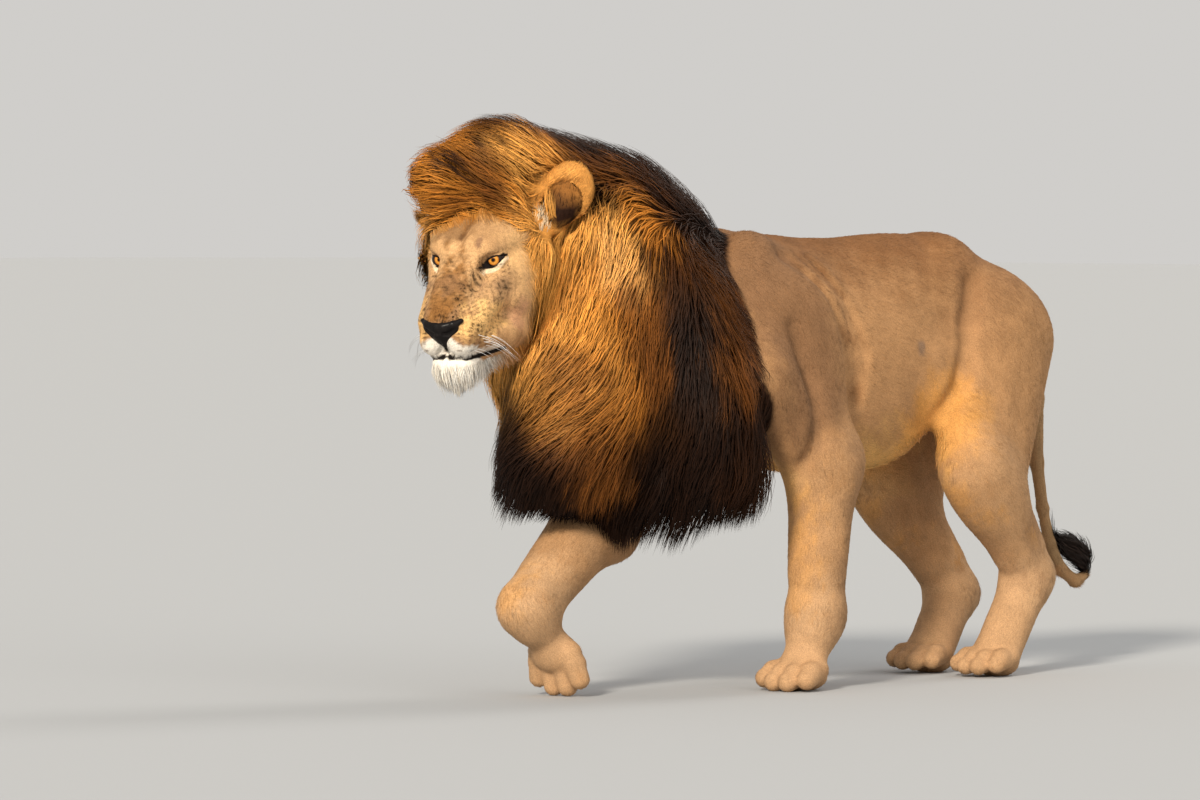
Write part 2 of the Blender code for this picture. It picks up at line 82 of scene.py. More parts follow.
# camera, light and floor
view = {"azimuth": 42.0, "fromEyes": (11.99, -12.888, 0.211), "drop": 1.66, "lens": 245.7}
lights = {
    # azimuth and height of each lamp seen from the animal, its softness, strength and colour
    "key": (23.0, 27.0, 9.0, 3.8, (1.0, 0.91, 0.78)),
    "fill": (80.0, 25.0, 40.0, 0.45, (1.0, 0.96, 0.9)),
    "rim": (175.0, 40.0, 20.0, 0.8, (1.0, 0.96, 0.9)),
}


def aim(thing, spot):
    away = thing.location - Vector(spot)
    thing.rotation_mode = "QUATERNION"
    thing.rotation_quaternion = away.to_track_quat("Z", "Y")


def setStage():
    lens = bpy.data.cameras.new("camera")
    lens.lens = view["lens"]
    lens.sensor_width = 36
    lens.clip_start, lens.clip_end = 0.1, 100
    camera = bpy.data.objects.new("camera", lens)
    scene.collection.objects.link(camera)
    camera.location = headSpot + Vector(view["fromEyes"])
    heading, drop = math.radians(view["azimuth"]), math.radians(view["drop"])
    ahead = Vector((-math.sin(heading) * math.cos(drop), math.cos(heading) * math.cos(drop), -math.sin(drop)))
    aim(camera, camera.location + ahead)
    scene.camera = camera
    for name, (azimuth, height, softness, strength, colour) in lights.items():
        lamp = bpy.data.lights.new(name, "SUN")
        lamp.angle, lamp.energy, lamp.color = math.radians(softness), strength, colour
        light = bpy.data.objects.new(name, lamp)
        scene.collection.objects.link(light)
        swing, rise = math.radians(azimuth), math.radians(height)
        light.location = Vector((
            math.sin(swing) * math.cos(rise), -math.cos(swing) * math.cos(rise), math.sin(rise),
        )) * 6
        aim(light, (0, 0, 0))
    world = bpy.data.worlds.new("studio")
    world.use_nodes = True
    world.node_tree.nodes["Background"].inputs["Color"].default_value = (0.9, 0.88, 0.85, 1)
    world.node_tree.nodes["Background"].inputs["Strength"].default_value = 0.7
    scene.world = world
    ground = bmesh.new()
    bmesh.ops.create_grid(ground, x_segments=2, y_segments=2, size=60)
    floor = newPiece("floor", ground)
    floor.data.materials.append(newMaterial("paleFloor", colour=(0.412, 0.424, 0.436, 1), roughness=0.9)[0])
    scene.view_settings.view_transform = "Standard"


def newPiece(name, shape):
    mesh = bpy.data.meshes.new(name)
    shape.to_mesh(mesh)
    shape.free()
    piece = bpy.data.objects.new(name, mesh)
    scene.collection.objects.link(piece)
    return piece


def newMaterial(name, **values):
    # a material whose shader has these plain values, and its nodes
    material = bpy.data.materials.new(name)
    material.use_nodes = True
    nodes = material.node_tree.nodes
    shader = nodes["Principled BSDF"]
    for label, value in values.items():
        shader.inputs[socketNames[label]].default_value = value
    return material, nodes, material.node_tree.links, shader


socketNames = {
    "colour": "Base Color", "roughness": "Roughness", "specular": "Specular IOR Level",
    "coat": "Coat Weight", "coatRoughness": "Coat Roughness",
}


def ease(low, high, value):
    share = np.clip((value - low) / (high - low), 0.0, 1.0)
    return share * share * (3 - 2 * share)


def unit(vectors):
    return vectors / np.maximum(np.linalg.norm(vectors, axis=-1, keepdims=True), 1e-9)


def turned(points, place):
    # the points in the place's own axes
    back = np.array(place.inverted())
    return points @ back[:3, :3].T + back[:3, 3]


def drift(points, scale, seed):
    # slow wandering vectors that neighbours share
    waves = np.random.default_rng(seed)
    total = np.zeros_like(points)
    for _ in range(5):
        total += np.sin(points @ (waves.normal(size=(3, 3)) * scale) + waves.uniform(0, 6.28, 3))
    return total / 2.2


# flesh: balls and tapered limbs that blend into one form
class Flesh:
    def __init__(self, blend, place=None):
        self.blend = blend
        self.place = place or Matrix.Identity(4)
        self.steps = []

    def ball(self, centre, radii, pitch=0.0, yaw=0.0, roll=0.0, blend=None):
        self.addBall(1, centre, radii, pitch, yaw, roll, blend)

    def hollow(self, centre, radii, pitch=0.0, yaw=0.0, roll=0.0, blend=None):
        self.addBall(-1, centre, radii, pitch, yaw, roll, blend)

    def addBall(self, sign, centre, radii, pitch, yaw, roll, blend):
        turning = Matrix.Rotation(math.radians(yaw), 3, "Z") @ Matrix.Rotation(math.radians(pitch), 3, "X")
        turning = turning @ Matrix.Rotation(math.radians(roll), 3, "Y")
        self.steps.append((sign, ("ball", Vector(centre), tuple(radii), turning), blend or self.blend))

    def limb(self, start, end, startRadius, endRadius, flat=1.0, blend=None):
        shape = ("limb", Vector(start), Vector(end), startRadius, endRadius, flat)
        self.steps.append((1, shape, blend or self.blend))

    def groove(self, points, radius, blend):
        for start, end in zip(points, points[1:]):
            shape = ("limb", Vector(start), Vector(end), radius, radius, 1.0)
            self.steps.append((-1, shape, blend))

    def chain(self, points, radii, flat=1.0, blend=None):
        for i in range(len(points) - 1):
            self.limb(points[i], points[i + 1], radii[i], radii[i + 1], flat, blend)

    def distance(self, points, reach=0.06):
        # about zero on the blended surface, negative inside
        local = turned(points, self.place)
        total = np.full(len(local), 1.0)
        for sign, shape, blend in self.steps:
            middle, size = spanOf(shape)
            away = local - middle
            close = np.flatnonzero(np.einsum("ij,ij->i", away, away) < (size + blend + reach) ** 2)
            if len(close) == 0:
                continue
            found = shapeDistance(shape, local[close])
            was = sign * total[close]
            near = np.maximum(blend - np.abs(was - found), 0.0) / blend
            total[close] = sign * (np.minimum(was, found) - near * near * blend / 4)
        return total

    def rough(self, gathered, thinner=0.0):
        # the balls and limbs themselves, overlapping, each made thinner by the coat
        for sign, shape, _ in self.steps:
            if sign < 0:
                continue
            if shape[0] == "ball":
                _, centre, radii, turning = shape
                size = Matrix.Diagonal((*(max(r - thinner, 0.006) for r in radii), 1.0))
                where = self.place @ Matrix.Translation(centre) @ turning.to_4x4() @ size
                bmesh.ops.create_icosphere(gathered, subdivisions=4, radius=1.0, matrix=where)
                continue
            _, start, end, startRadius, endRadius, flat = shape
            one = bmesh.new()
            for point, radius in ((start, startRadius), (end, endRadius)):
                where = self.place @ Matrix.Translation(point) @ Matrix.Diagonal((flat, 1.0, 1.0, 1.0))
                bmesh.ops.create_icosphere(
                    one, subdivisions=3, radius=max(radius - thinner, 0.004), matrix=where,
                )
            hull = bmesh.ops.convex_hull(one, input=one.verts)
            inner = [v for v in hull["geom_interior"] if isinstance(v, bmesh.types.BMVert)]
            bmesh.ops.delete(one, geom=inner, context="VERTS")
            shell = bpy.data.meshes.new("shell")
            one.to_mesh(shell)
            one.free()
            gathered.from_mesh(shell)
            bpy.data.meshes.remove(shell)


def spanOf(shape):
    if shape[0] == "ball":
        return np.array(shape[1]), max(shape[2])
    start, end = np.array(shape[1]), np.array(shape[2])
    return (start + end) / 2, np.linalg.norm(end - start) / 2 + max(shape[3], shape[4])


def shapeDistance(shape, points):
    if shape[0] == "ball":
        _, centre, radii, turning = shape
        scaled = ((points - np.array(centre)) @ np.array(turning)) / radii
        near = np.linalg.norm(scaled, axis=1)
        slope = np.linalg.norm(scaled / radii, axis=1)
        return near * (near - 1.0) / np.maximum(slope, 1e-9)
    _, start, end, startRadius, endRadius, flat = shape
    narrow = np.array((1.0 / flat, 1.0, 1.0))
    start, end = np.array(start) * narrow, np.array(end) * narrow
    along = end - start
    share = np.clip(((points * narrow - start) @ along) / (along @ along), 0.0, 1.0)
    radius = startRadius + share * (endRadius - startRadius)
    return np.linalg.norm(points * narrow - start - share[:, None] * along, axis=1) - radius


def joined(first, second, blend):
    near = np.maximum(blend - np.abs(first - second), 0.0) / blend
    return np.minimum(first, second) - near * near * blend / 4


def slopeOf(distance, points, here, step=3e-4):
    # how the distance grows along each axis
    return np.stack([distance(points + step * axis) - here for axis in np.eye(3)], axis=1) / step


def onSurface(flesh, spots, inset=0.0):
    # the nearest places on the form, or that far inside it, in the form's own axes
    points = np.array([tuple(flesh.place @ Vector(spot)) for spot in spots])
    for _ in range(7):
        here = flesh.distance(points) + inset
        slope = slopeOf(lambda spot: flesh.distance(spot) + inset, points, here)
        points = points - (here / np.maximum(np.linalg.norm(slope, axis=1), 0.5) ** 2)[:, None] * slope
    return turned(points, flesh.place)


# trunk and limbs
bones = {
    # lengths from the top of the limb to its toes, where it starts, forward swings and sideways leans
    "foreLeft": (
        (0.3, 0.335, 0.13, 0.075), (0.15, -0.205, 0.69), (-50, 2.0, 24, 72), (0.02, -0.06, 0.0, 0.0),
    ),
    "foreRight": (
        (0.3, 0.335, 0.13, 0.075), (-0.15, -0.235, 0.637), (26, 58, -42, -15), (-0.02, 0.1, 0.0, 0.0),
    ),
    "hindLeft": ((0.358, 0.34, 0.218, 0.082), (0.1, 0.645, 0.8), (21, -43.5, 32, 78), (0.2, -0.12, 0.0, 0.0)),
    "hindRight": (
        (0.358, 0.34, 0.218, 0.082), (-0.1, 0.65, 0.785), (12.5, -41, 48, 80), (-0.13, 0.045, 0.3, 0.1),
    ),
}
limbNames = {1: ("foreLeft", "hindLeft"), -1: ("foreRight", "hindRight")}


def jointsOf(name):
    lengths, start, swings, leans = bones[name]
    points = [Vector(start)]
    for length, swing, lean in zip(lengths, swings, leans):
        angle = math.radians(swing)
        points.append(points[-1] + Vector((lean, -math.sin(angle), -math.cos(angle))).normalized() * length)
    return points


def addTrunk(flesh):
    flesh.ball((0.0, 0.0, 0.745), (0.15, 0.27, 0.235))  # ribcage
    flesh.ball((0.0, 0.2, 0.712), (0.172, 0.29, 0.255))  # barrel
    flesh.ball((0.0, 0.37, 0.725), (0.14, 0.21, 0.24))  # belly
    flesh.ball((0.0, 0.48, 0.86), (0.11, 0.28, 0.118))  # loins
    flesh.limb((0.0, -0.1, 0.925), (0.0, 0.56, 0.93), 0.055, 0.062)  # back
    flesh.limb((0.0, -0.22, 0.6), (0.0, 0.1, 0.565), 0.105, 0.075)  # breast
    flesh.limb((0.0, -0.05, 0.8), (-0.12, -0.38, 0.9), 0.18, 0.15)  # root of the neck
    for _, side in sides:
        flesh.limb((side * 0.055, 0.555, 0.918), (side * 0.032, 0.72, 0.792), 0.062, 0.05)  # croup
        flesh.ball((side * 0.082, 0.655, 0.762), (0.078, 0.13, 0.112), pitch=-20)  # buttock
        flesh.limb((side * 0.1, 0.42, 0.7), (side * 0.15, 0.5, 0.56), 0.05, 0.035)  # flank fold
    flesh.limb((0.0, 0.8, 0.73), (0.0, 0.812, 0.655), 0.038, 0.042, blend=0.03)  # scrotum


def addForeleg(flesh, name, side):
    shoulder, elbow, wrist, ball, _ = jointsOf(name)
    bladeTop, bladeRear = Vector((side * 0.062, -0.13, 0.95)), Vector((side * 0.1, 0.0, 0.85))
    back = Vector((0.0, 1.0, 0.0))
    along = (wrist - elbow).normalized()
    behind = (back - along * along.dot(back)).normalized()
    point = elbow + behind * 0.047 - along * 0.015
    slack = 0.84 if name == "foreRight" else 1.0  # the folded wrist bunches less
    flesh.limb(bladeTop, shoulder, 0.052, 0.075, 0.8)  # blade
    flesh.limb(bladeRear, shoulder.lerp(elbow, 0.7), 0.07, 0.075, 0.8)
    flesh.limb(shoulder, elbow, 0.082, 0.066, 0.9)  # upper arm
    flesh.limb(bladeRear.lerp(shoulder, 0.3), elbow.lerp(point, 0.5), 0.095, 0.05, 0.72)  # triceps
    flesh.ball(point, (0.032, 0.032, 0.04), blend=0.04)  # point of the elbow
    flesh.limb(elbow - behind * 0.006, wrist - behind * 0.004, 0.068, 0.051 * slack, 0.94)  # forearm
    upper, lower = elbow.lerp(wrist, 0.05), elbow.lerp(wrist, 0.7)
    flesh.limb(upper - behind * 0.027, lower - behind * (0.02 * slack ** 3), 0.062, 0.05 * slack)
    if slack < 1:  # the bent arm is deeper in front
        flesh.limb(elbow.lerp(wrist, 0.15) - behind * 0.034, wrist - behind * 0.012, 0.052, 0.038)
    flesh.ball(
        wrist - behind * 0.01 * slack, (0.053 * slack, 0.053 * slack, 0.056 * slack), blend=0.04 * slack,
    )
    flesh.ball(wrist + behind * 0.029 + along * 0.012, (0.019, 0.02, 0.022), blend=0.03)  # wrist pad
    flesh.limb(wrist - behind * 0.004, ball, 0.048 * slack, 0.046 * slack)


def addHindleg(flesh, name, side):
    hip, knee, hock, ball, _ = jointsOf(name)
    seat = Vector((side * 0.072, 0.795, 0.745))
    along = (ball - hock).normalized()
    back = Vector((0.0, 1.0, 0.0))
    behind = (back - along * along.dot(back)).normalized()
    heel = hock + behind * 0.042 - along * 0.02
    calf = knee.lerp(hock, 0.42) + Vector((0.0, 0.03, 0.015))
    flesh.limb(hip, knee, 0.12, 0.07, 0.72)  # thigh
    flesh.limb(seat, knee.lerp(calf, 0.7), 0.09, 0.066, 0.72)  # back of the thigh
    flesh.limb(seat.lerp(hip, 0.45), knee.lerp(hock, 0.22), 0.115, 0.074, 0.72)
    flesh.limb((side * 0.085, 0.5, 0.87), hip.lerp(knee, 0.8) - Vector((0, 0.03, 0)), 0.05, 0.042, 0.7)
    flesh.ball(knee - Vector((0.0, 0.008, 0.0)), (0.048, 0.052, 0.06))
    flesh.limb(knee, hock, 0.062, 0.042, 0.9)  # shin
    flesh.limb(knee - behind * 0.016, knee.lerp(hock, 0.8) - behind * 0.012, 0.055, 0.041, 0.85)
    flesh.limb(knee.lerp(calf, 0.35), calf.lerp(heel, 0.55), 0.054, 0.032, 0.85)  # calf
    flesh.limb(calf.lerp(heel, 0.3), heel, 0.03, 0.024, blend=0.04)  # heel cord
    flesh.ball(heel, (0.03, 0.031, 0.034), blend=0.04)
    flesh.ball(hock, (0.044, 0.05, 0.05), blend=0.04)
    flesh.limb(hock, ball, 0.043, 0.042, blend=0.04)
    upper, lower = hock.lerp(ball, 0.2), hock.lerp(ball, 0.8)
    flesh.limb(upper + behind * 0.016, lower + behind * 0.008, 0.036, 0.036)


def addPaw(flesh, name):
    _, _, _, ball, tip = jointsOf(name)
    fore = name.startswith("fore")
    spread, size = (0.036, 1.0) if fore else (0.033, 0.93)
    along = tip - ball
    flesh.ball(ball, (0.064 * size, 0.044 * size, 0.042 * size), blend=0.03)
    for order in (-1.5, -0.5, 0.5, 1.5):
        reach = 1.0 if abs(order) < 1 else 0.76
        root = ball + Vector((order * spread * 0.8, 0.0, 0.002))
        end = ball + along * reach + Vector((order * spread * 1.1, 0.0, 0.0))
        flesh.limb(root, end, 0.03 * size, 0.026 * size, blend=0.008)
        knuckle = root.lerp(end, 0.62) + Vector((0.0, 0.0, 0.014))
        flesh.ball(knuckle, (0.023 * size, 0.027 * size, 0.021 * size), blend=0.01)
    flesh.ball(ball + Vector((0.0, 0.02, -0.018)), (0.05 * size, 0.034, 0.027), blend=0.015)  # heel pad


foldLines = []


def makeBody():
    flesh = Flesh(0.07)
    addTrunk(flesh)
    for _, side in sides:
        addForeleg(flesh, limbNames[side][0], side)
        addHindleg(flesh, limbNames[side][1], side)
    for name in bones:
        addPaw(flesh, name)
    # folds behind the shoulder, before the thigh and behind the upper arm: a line, its depth and its blend
    folds = []
    for order, depth in enumerate((0.008, 0.006, 0.0045, 0.0035)):
        back = 0.032 * order
        behind = (-0.08 + back, 0.0 + back, 0.065 + back * 0.8, 0.09 + back * 0.4)
        folds.append((tuple(zip((0.1, 0.14, 0.17, 0.17), behind, (0.95, 0.86, 0.74, 0.62))), depth, 0.016))
    hip = ((0.14, 0.47, 0.6), (0.15, 0.5, 0.7), (0.14, 0.52, 0.8), (0.11, 0.54, 0.88))
    arm = ((0.17, -0.115, 0.8), (0.18, -0.085, 0.68), (0.18, -0.065, 0.57), (0.17, -0.075, 0.48))
    folds += [(hip, 0.012, 0.03), (arm, 0.009, 0.03)]
    for _, side in sides:
        for line, depth, blend in folds:
            foldLines.append(onSurface(flesh, [(side * x, y, z) for x, y, z in line]))
            flesh.groove(foldLines[-1], depth, blend)
    return flesh


# the head, in its own axes from the middle between the eyes
eye = {
    "spread": 0.064, "back": 0.0125, "radius": 0.0225,
    "lid": 0.0024, "wide": 0.0205, "top": 0.0076, "bottom": 0.008,
}
lipSpots = (
    (0.0, -0.17, -0.158), (0.01, -0.162, -0.165), (0.02, -0.148, -0.171), (0.035, -0.124, -0.177),
    (0.055, -0.085, -0.182), (0.066, -0.056, -0.184), (0.073, -0.032, -0.185),
)
lipLine = {}


def makeHead():
    flesh = Flesh(0.026, headPlace)
    flesh.ball((0.0, 0.11, 0.02), (0.092, 0.135, 0.082))  # skull
    flesh.ball((0.0, 0.012, 0.02), (0.06, 0.048, 0.044))  # brow
    flesh.ball((0.0, -0.088, -0.098), (0.05, 0.084, 0.046))  # muzzle
    flesh.ball((0.0, -0.15, -0.118), (0.04, 0.018, 0.032), blend=0.015)  # under the nose pad
    flesh.ball((0.0, 0.03, -0.14), (0.07, 0.1, 0.063))  # throat
    for _, side in sides:
        flesh.limb((side * 0.022, 0.0, 0.008), (side * 0.02, -0.138, -0.084), 0.036, 0.023)  # bridge
        flesh.limb((side * 0.056, 0.004, 0.028), (side * 0.08, 0.1, 0.035), 0.027, 0.042)  # brow ridge
        flesh.limb((side * 0.068, 0.03, -0.03), (side * 0.1, 0.13, -0.015), 0.032, 0.044)  # cheekbone
        flesh.ball((side * 0.075, 0.085, -0.075), (0.05, 0.085, 0.078))  # cheek
        # jaw
        flesh.limb((side * 0.022, -0.09, -0.19), (side * 0.058, 0.06, -0.172), 0.028, 0.042, blend=0.04)
        # rear of the lip
        flesh.limb((side * 0.046, -0.085, -0.148), (side * 0.062, 0.01, -0.16), 0.028, 0.03)
        flesh.limb((side * 0.06, 0.0, -0.045), (side * 0.046, -0.1, -0.105), 0.032, 0.03)  # face
    flesh.ball((0.0, -0.113, -0.194), (0.05, 0.047, 0.037), blend=0.014)  # chin
    for _, side in sides:
        # side of the muzzle
        flesh.limb((side * 0.05, -0.015, -0.075), (side * 0.036, -0.112, -0.112), 0.034, 0.031)
        flesh.ball((side * 0.031, -0.122, -0.138), (0.036, 0.048, 0.037), pitch=10, blend=0.012)  # lip pad
        # socket
        flesh.hollow((side * 0.072, -0.026, 0.002), (0.024, 0.032, 0.017), yaw=side * 20, blend=0.012)
        # before the eye
        flesh.hollow((side * 0.04, -0.048, -0.03), (0.01, 0.03, 0.014), pitch=30, blend=0.016)
    marks, stops = np.arange(len(lipSpots)), np.linspace(0, len(lipSpots) - 1, 25)
    line = np.column_stack([np.interp(stops, marks, np.array(lipSpots)[:, axis]) for axis in range(3)])
    for _, side in sides:
        lipLine[side] = onSurface(flesh, line * (side, 1, 1))
    for _, side in sides:
        flesh.groove(lipLine[side], 0.003, 0.005)  # mouth
    # below the nose
    flesh.groove(onSurface(flesh, ((0, -0.168, -0.14), (0, -0.168, -0.15), (0, -0.17, -0.158))), 0.003, 0.006)
    furrow = onSurface(flesh, ((0.0, -0.02, 0.03), (0.004, 0.005, 0.055), (0.01, 0.045, 0.09)))
    flesh.groove(furrow, 0.005, 0.016)
    return flesh


def lidsOf(side):
    # the lids wrap the eyeball, then the slit between them is opened
    lids = Flesh(0.008, headPlace)
    centre = Vector((side * eye["spread"], eye["back"], 0.0))
    shell = eye["radius"] + eye["lid"]
    lids.ball(centre, (shell, shell, shell))
    corner = (Vector((-side * 0.02, -0.01, -0.006)), Vector((-side * 0.03, -0.014, -0.016)))
    lids.limb(centre + corner[0], centre + corner[1], 0.006, 0.004)
    return lids


def lidSlit(points, side):
    # an almond that slopes down to the inner corner; negative where the eye looks out
    centre = Vector((side * eye["spread"], eye["back"], 0.0))
    local = (turned(points, headPlace) - np.array(centre)) * np.array((side, 1.0, 1.0))
    slant = math.radians(27)
    across = local[:, 0] * math.cos(slant) + local[:, 2] * math.sin(slant)
    height = -local[:, 0] * math.sin(slant) + local[:, 2] * math.cos(slant)
    across = across - 0.001
    share = np.clip(np.abs(across) / eye["wide"], 0, 1)
    top, bottom = eye["top"] * (1 - share ** 2.4), eye["bottom"] * (1 - share ** 1.8)
    opening = np.where(height > 0, height - top, -height - bottom)
    opening = np.maximum(opening, np.abs(across) - eye["wide"])
    return np.where(local[:, 1] < 0.01, opening, 0.05)


dishes = {}


def makeEar(side):
    flesh = Flesh(0.02, headPlace)
    tilt = {"yaw": side * 22, "roll": side * 24, "pitch": -8}
    dishes[side] = Flesh(0.02, headPlace)
    dishes[side].ball((side * 0.155, 0.175, 0.077), (0.042, 0.042, 0.05), **tilt)
    flesh.ball((side * 0.158, 0.21, 0.098), (0.057, 0.026, 0.067), **tilt)
    flesh.limb((side * 0.124, 0.18, 0.04), (side * 0.152, 0.205, 0.085), 0.038, 0.032)
    flesh.hollow((side * 0.155, 0.175, 0.077), (0.042, 0.042, 0.05), blend=0.008, **tilt)
    flesh.hollow((side * 0.138, 0.18, 0.05), (0.022, 0.034, 0.026), blend=0.01)  # way in
    return flesh


def onHead(left, back, up):
    return headPlace @ Vector((left, back, up))


def makeMane(hanging):
    flesh = Flesh(0.09)
    flesh.ball((-0.2, -0.65, 1.066), (0.152, 0.157, 0.197))  # crown
    flesh.ball((-0.17, -0.5, 1.036), (0.15, 0.19, 0.19))  # nape
    flesh.ball((-0.1, -0.37, 0.935), (0.195, 0.19, 0.246))  # neck
    flesh.ball((-0.03, -0.24, 0.96), (0.1, 0.11, 0.126))  # crest before the withers
    flesh.ball((-0.085, -0.44, 0.68), (0.205, 0.24, 0.24))  # throat
    flesh.ball((-0.11, -0.5, 0.52), (0.165, 0.2, 0.13))  # breast
    flesh.ball((0.06, -0.32, 0.78), (0.12, 0.11, 0.18))  # near side of the neck
    flesh.ball((0.105, -0.32, 0.6), (0.11, 0.11, 0.18))  # before the near shoulder
    flesh.ball((-0.19, -0.33, 0.66), (0.09, 0.13, 0.23))  # before the far shoulder
    flesh.ball((-0.245, -0.48, 0.8), (0.11, 0.16, 0.2))  # far side of the neck
    # face
    flesh.hollow(onHead(0.044, -0.095, -0.04), (0.168, 0.208, 0.175), yaw=17.5, pitch=15.0, blend=0.04)
    flesh.ball(onHead(-0.062, 0.074, 0.154), (0.084, 0.08, 0.092), blend=0.06)  # forelock
    for _, side in sides:
        flesh.ball(onHead(side * 0.1, 0.24, -0.09), (0.09, 0.11, 0.13))  # ruff
        flesh.ball(onHead(side * 0.123, 0.138, 0.0), (0.03, 0.05, 0.11), blend=0.05)  # side whiskers
        flesh.hollow(onHead(side * 0.185, 0.17, 0.095), (0.066, 0.066, 0.07), blend=0.03)  # by the ear
    flesh.limb((0.14, -0.29, 0.6), (0.155, -0.24, 0.48), 0.08, 0.05)
    flesh.limb((0.0, -0.36, 0.5), (0.12, -0.28, 0.5), 0.075, 0.06)
    if hanging:
        flesh.limb((0.14, -0.29, 0.6), (0.155, -0.24, 0.45), 0.08, 0.03)
        flesh.limb((0.0, -0.36, 0.46), (0.12, -0.28, 0.46), 0.075, 0.06)
        flesh.limb((0.04, -0.32, 0.46), (0.045, -0.365, 0.335), 0.07, 0.014)
        flesh.limb((-0.03, -0.4, 0.42), (-0.02, -0.45, 0.33), 0.06, 0.012)
        flesh.limb((-0.16, -0.6, 0.5), (-0.198, -0.668, 0.395), 0.07, 0.02)
    return flesh


tailBones = (
    ((0.0, 0.818, 0.815), 0.037), ((0.0, 0.9, 0.732), 0.028), ((0.0, 0.94, 0.62), 0.024),
    ((0.0, 0.947, 0.47), 0.019), ((0.0, 0.968, 0.365), 0.017), ((0.0, 0.992, 0.285), 0.017),
    ((0.0, 1.034, 0.222), 0.018), ((0.0, 1.088, 0.192), 0.018), ((0.0, 1.128, 0.206), 0.014),
)
tuftBones = (
    ((0.0, 1.134, 0.216), 0.012), ((0.0, 1.112, 0.248), 0.028), ((0.0, 1.072, 0.272), 0.03),
    ((0.0, 1.018, 0.296), 0.008),
)


def makeTail(bonesOf, blend):
    flesh = Flesh(blend)
    flesh.chain([point for point, _ in bonesOf], [radius for _, radius in bonesOf])
    return flesh


body, head, mane, maneOutline = makeBody(), makeHead(), makeMane(False), makeMane(True)
tail, tuft = makeTail(tailBones, 0.012), makeTail(tuftBones, 0.015)
ears = {side: makeEar(side) for _, side in sides}
coatDepth = {
    "body": 0.006, "legs": 0.004, "face": 0.0015, "ear": 0.0015, "mane": 0.04, "tail": 0.004, "tuft": 0.012,
}


def skinDistance(points):
    # the bare form: what the flesh tables say, less the depth of the coat that lies over it
    legs = ease(0.15, 0.5, points[:, 2])
    flesh = body.distance(points) + coatDepth["legs"] + (coatDepth["body"] - coatDepth["legs"]) * legs
    flesh = joined(flesh, mane.distance(points) + coatDepth["mane"], 0.03)
    flesh = joined(flesh, tail.distance(points) + coatDepth["tail"], 0.02)
    flesh = joined(flesh, tuft.distance(points) + coatDepth["tuft"], 0.01)
    face = head.distance(points) + coatDepth["face"]
    for side, ear in ears.items():
        face = joined(face, ear.distance(points) + coatDepth["ear"], 0.012)
        face = joined(face, lidsOf(side).distance(points), 0.006)
        opening = np.maximum(lidSlit(points, side), eyeBallDistance(points, side))
        face = np.maximum(face, -opening)
    return joined(flesh, face, 0.012)


def eyeBallDistance(points, side):
    # a little smaller than the eyeball, so that the skin passes in behind it
    centre = np.array(headPlace @ Vector((side * eye["spread"], eye["back"], 0.0)))
    return eye["radius"] * 0.8 - np.linalg.norm(points - centre, axis=1)


# the skin: one closed surface
skinShape = {"voxel": 0.0104, "offFloor": 0.0004}


def bake(piece):
    graph = bpy.context.evaluated_depsgraph_get()
    made = bpy.data.meshes.new_from_object(piece.evaluated_get(graph))
    piece.modifiers.clear()
    old = piece.data
    piece.data = made
    bpy.data.meshes.remove(old)


def pointsOf(mesh):
    points = np.empty(len(mesh.vertices) * 3)
    mesh.vertices.foreach_get("co", points)
    return points.reshape(-1, 3)


def normalsOf(mesh):
    normals = np.empty(len(mesh.vertices) * 3)
    mesh.vertices.foreach_get("normal", normals)
    return normals.reshape(-1, 3)


def setPoints(mesh, points):
    mesh.vertices.foreach_set("co", points.ravel())
    mesh.update()


def settle(mesh, distance, rounds, reach, chosen=None):
    # moves the points onto the form, a little at a time
    points = pointsOf(mesh)
    picked = np.arange(len(points)) if chosen is None else np.flatnonzero(chosen(points))
    moving = points[picked]
    for _ in range(rounds):
        here = distance(moving)
        slope = slopeOf(distance, moving, here)
        steep = np.maximum(np.linalg.norm(slope, axis=1), 0.5)
        moving = moving - (np.clip(here / steep, -reach, reach) / steep)[:, None] * slope
    points[picked] = moving
    setPoints(mesh, points)


def relax(piece, factor, rounds):
    easing = piece.modifiers.new("relax", "SMOOTH")
    easing.factor, easing.iterations = factor, rounds
    bake(piece)


def refine(mesh, chosen):
    # finer faces where the form is fine
    wanted = chosen(pointsOf(mesh))
    shape = bmesh.new()
    shape.from_mesh(mesh)
    shape.verts.ensure_lookup_table()
    edges = [e for e in shape.edges if wanted[e.verts[0].index] and wanted[e.verts[1].index]]
    bmesh.ops.subdivide_edges(shape, edges=edges, cuts=1, use_grid_fill=True)
    shape.to_mesh(mesh)
    shape.free()


def inBlock(local, aside, back, low, high):
    # inside a block of the head: that far aside, before that depth and between those heights
    return (np.abs(local[:, 0]) < aside) & (local[:, 1] < back) & (local[:, 2] > low) & (local[:, 2] < high)


def nearFace(points):
    local = turned(points, headPlace)
    face = inBlock(local, 0.135, 0.1, -0.235, 0.115)
    for side in (1, -1):
        face |= np.linalg.norm(local - (side * 0.155, 0.19, 0.08), axis=1) < 0.11
    return face


def nearFeatures(points):
    local = turned(points, headPlace)
    close = inBlock(local, 0.095, -0.03, -0.215, -0.06)
    for side in (1, -1):
        close |= np.linalg.norm(local - (side * 0.064, 0.0, 0.0), axis=1) < 0.042
    return close


def nearLids(points):
    local = turned(points, headPlace)
    close = np.zeros(len(local), bool)
    for side in (1, -1):
        close |= np.linalg.norm(
            local - (side * eye["spread"] - side * 0.004, eye["back"] - 0.004, 0.0), axis=1,
        ) < 0.031
    return close


def nearPaws(points):
    return points[:, 2] < 0.13


def nearDish(points):
    return (dishes[1].distance(points) < 0.012) | (dishes[-1].distance(points) < 0.012)


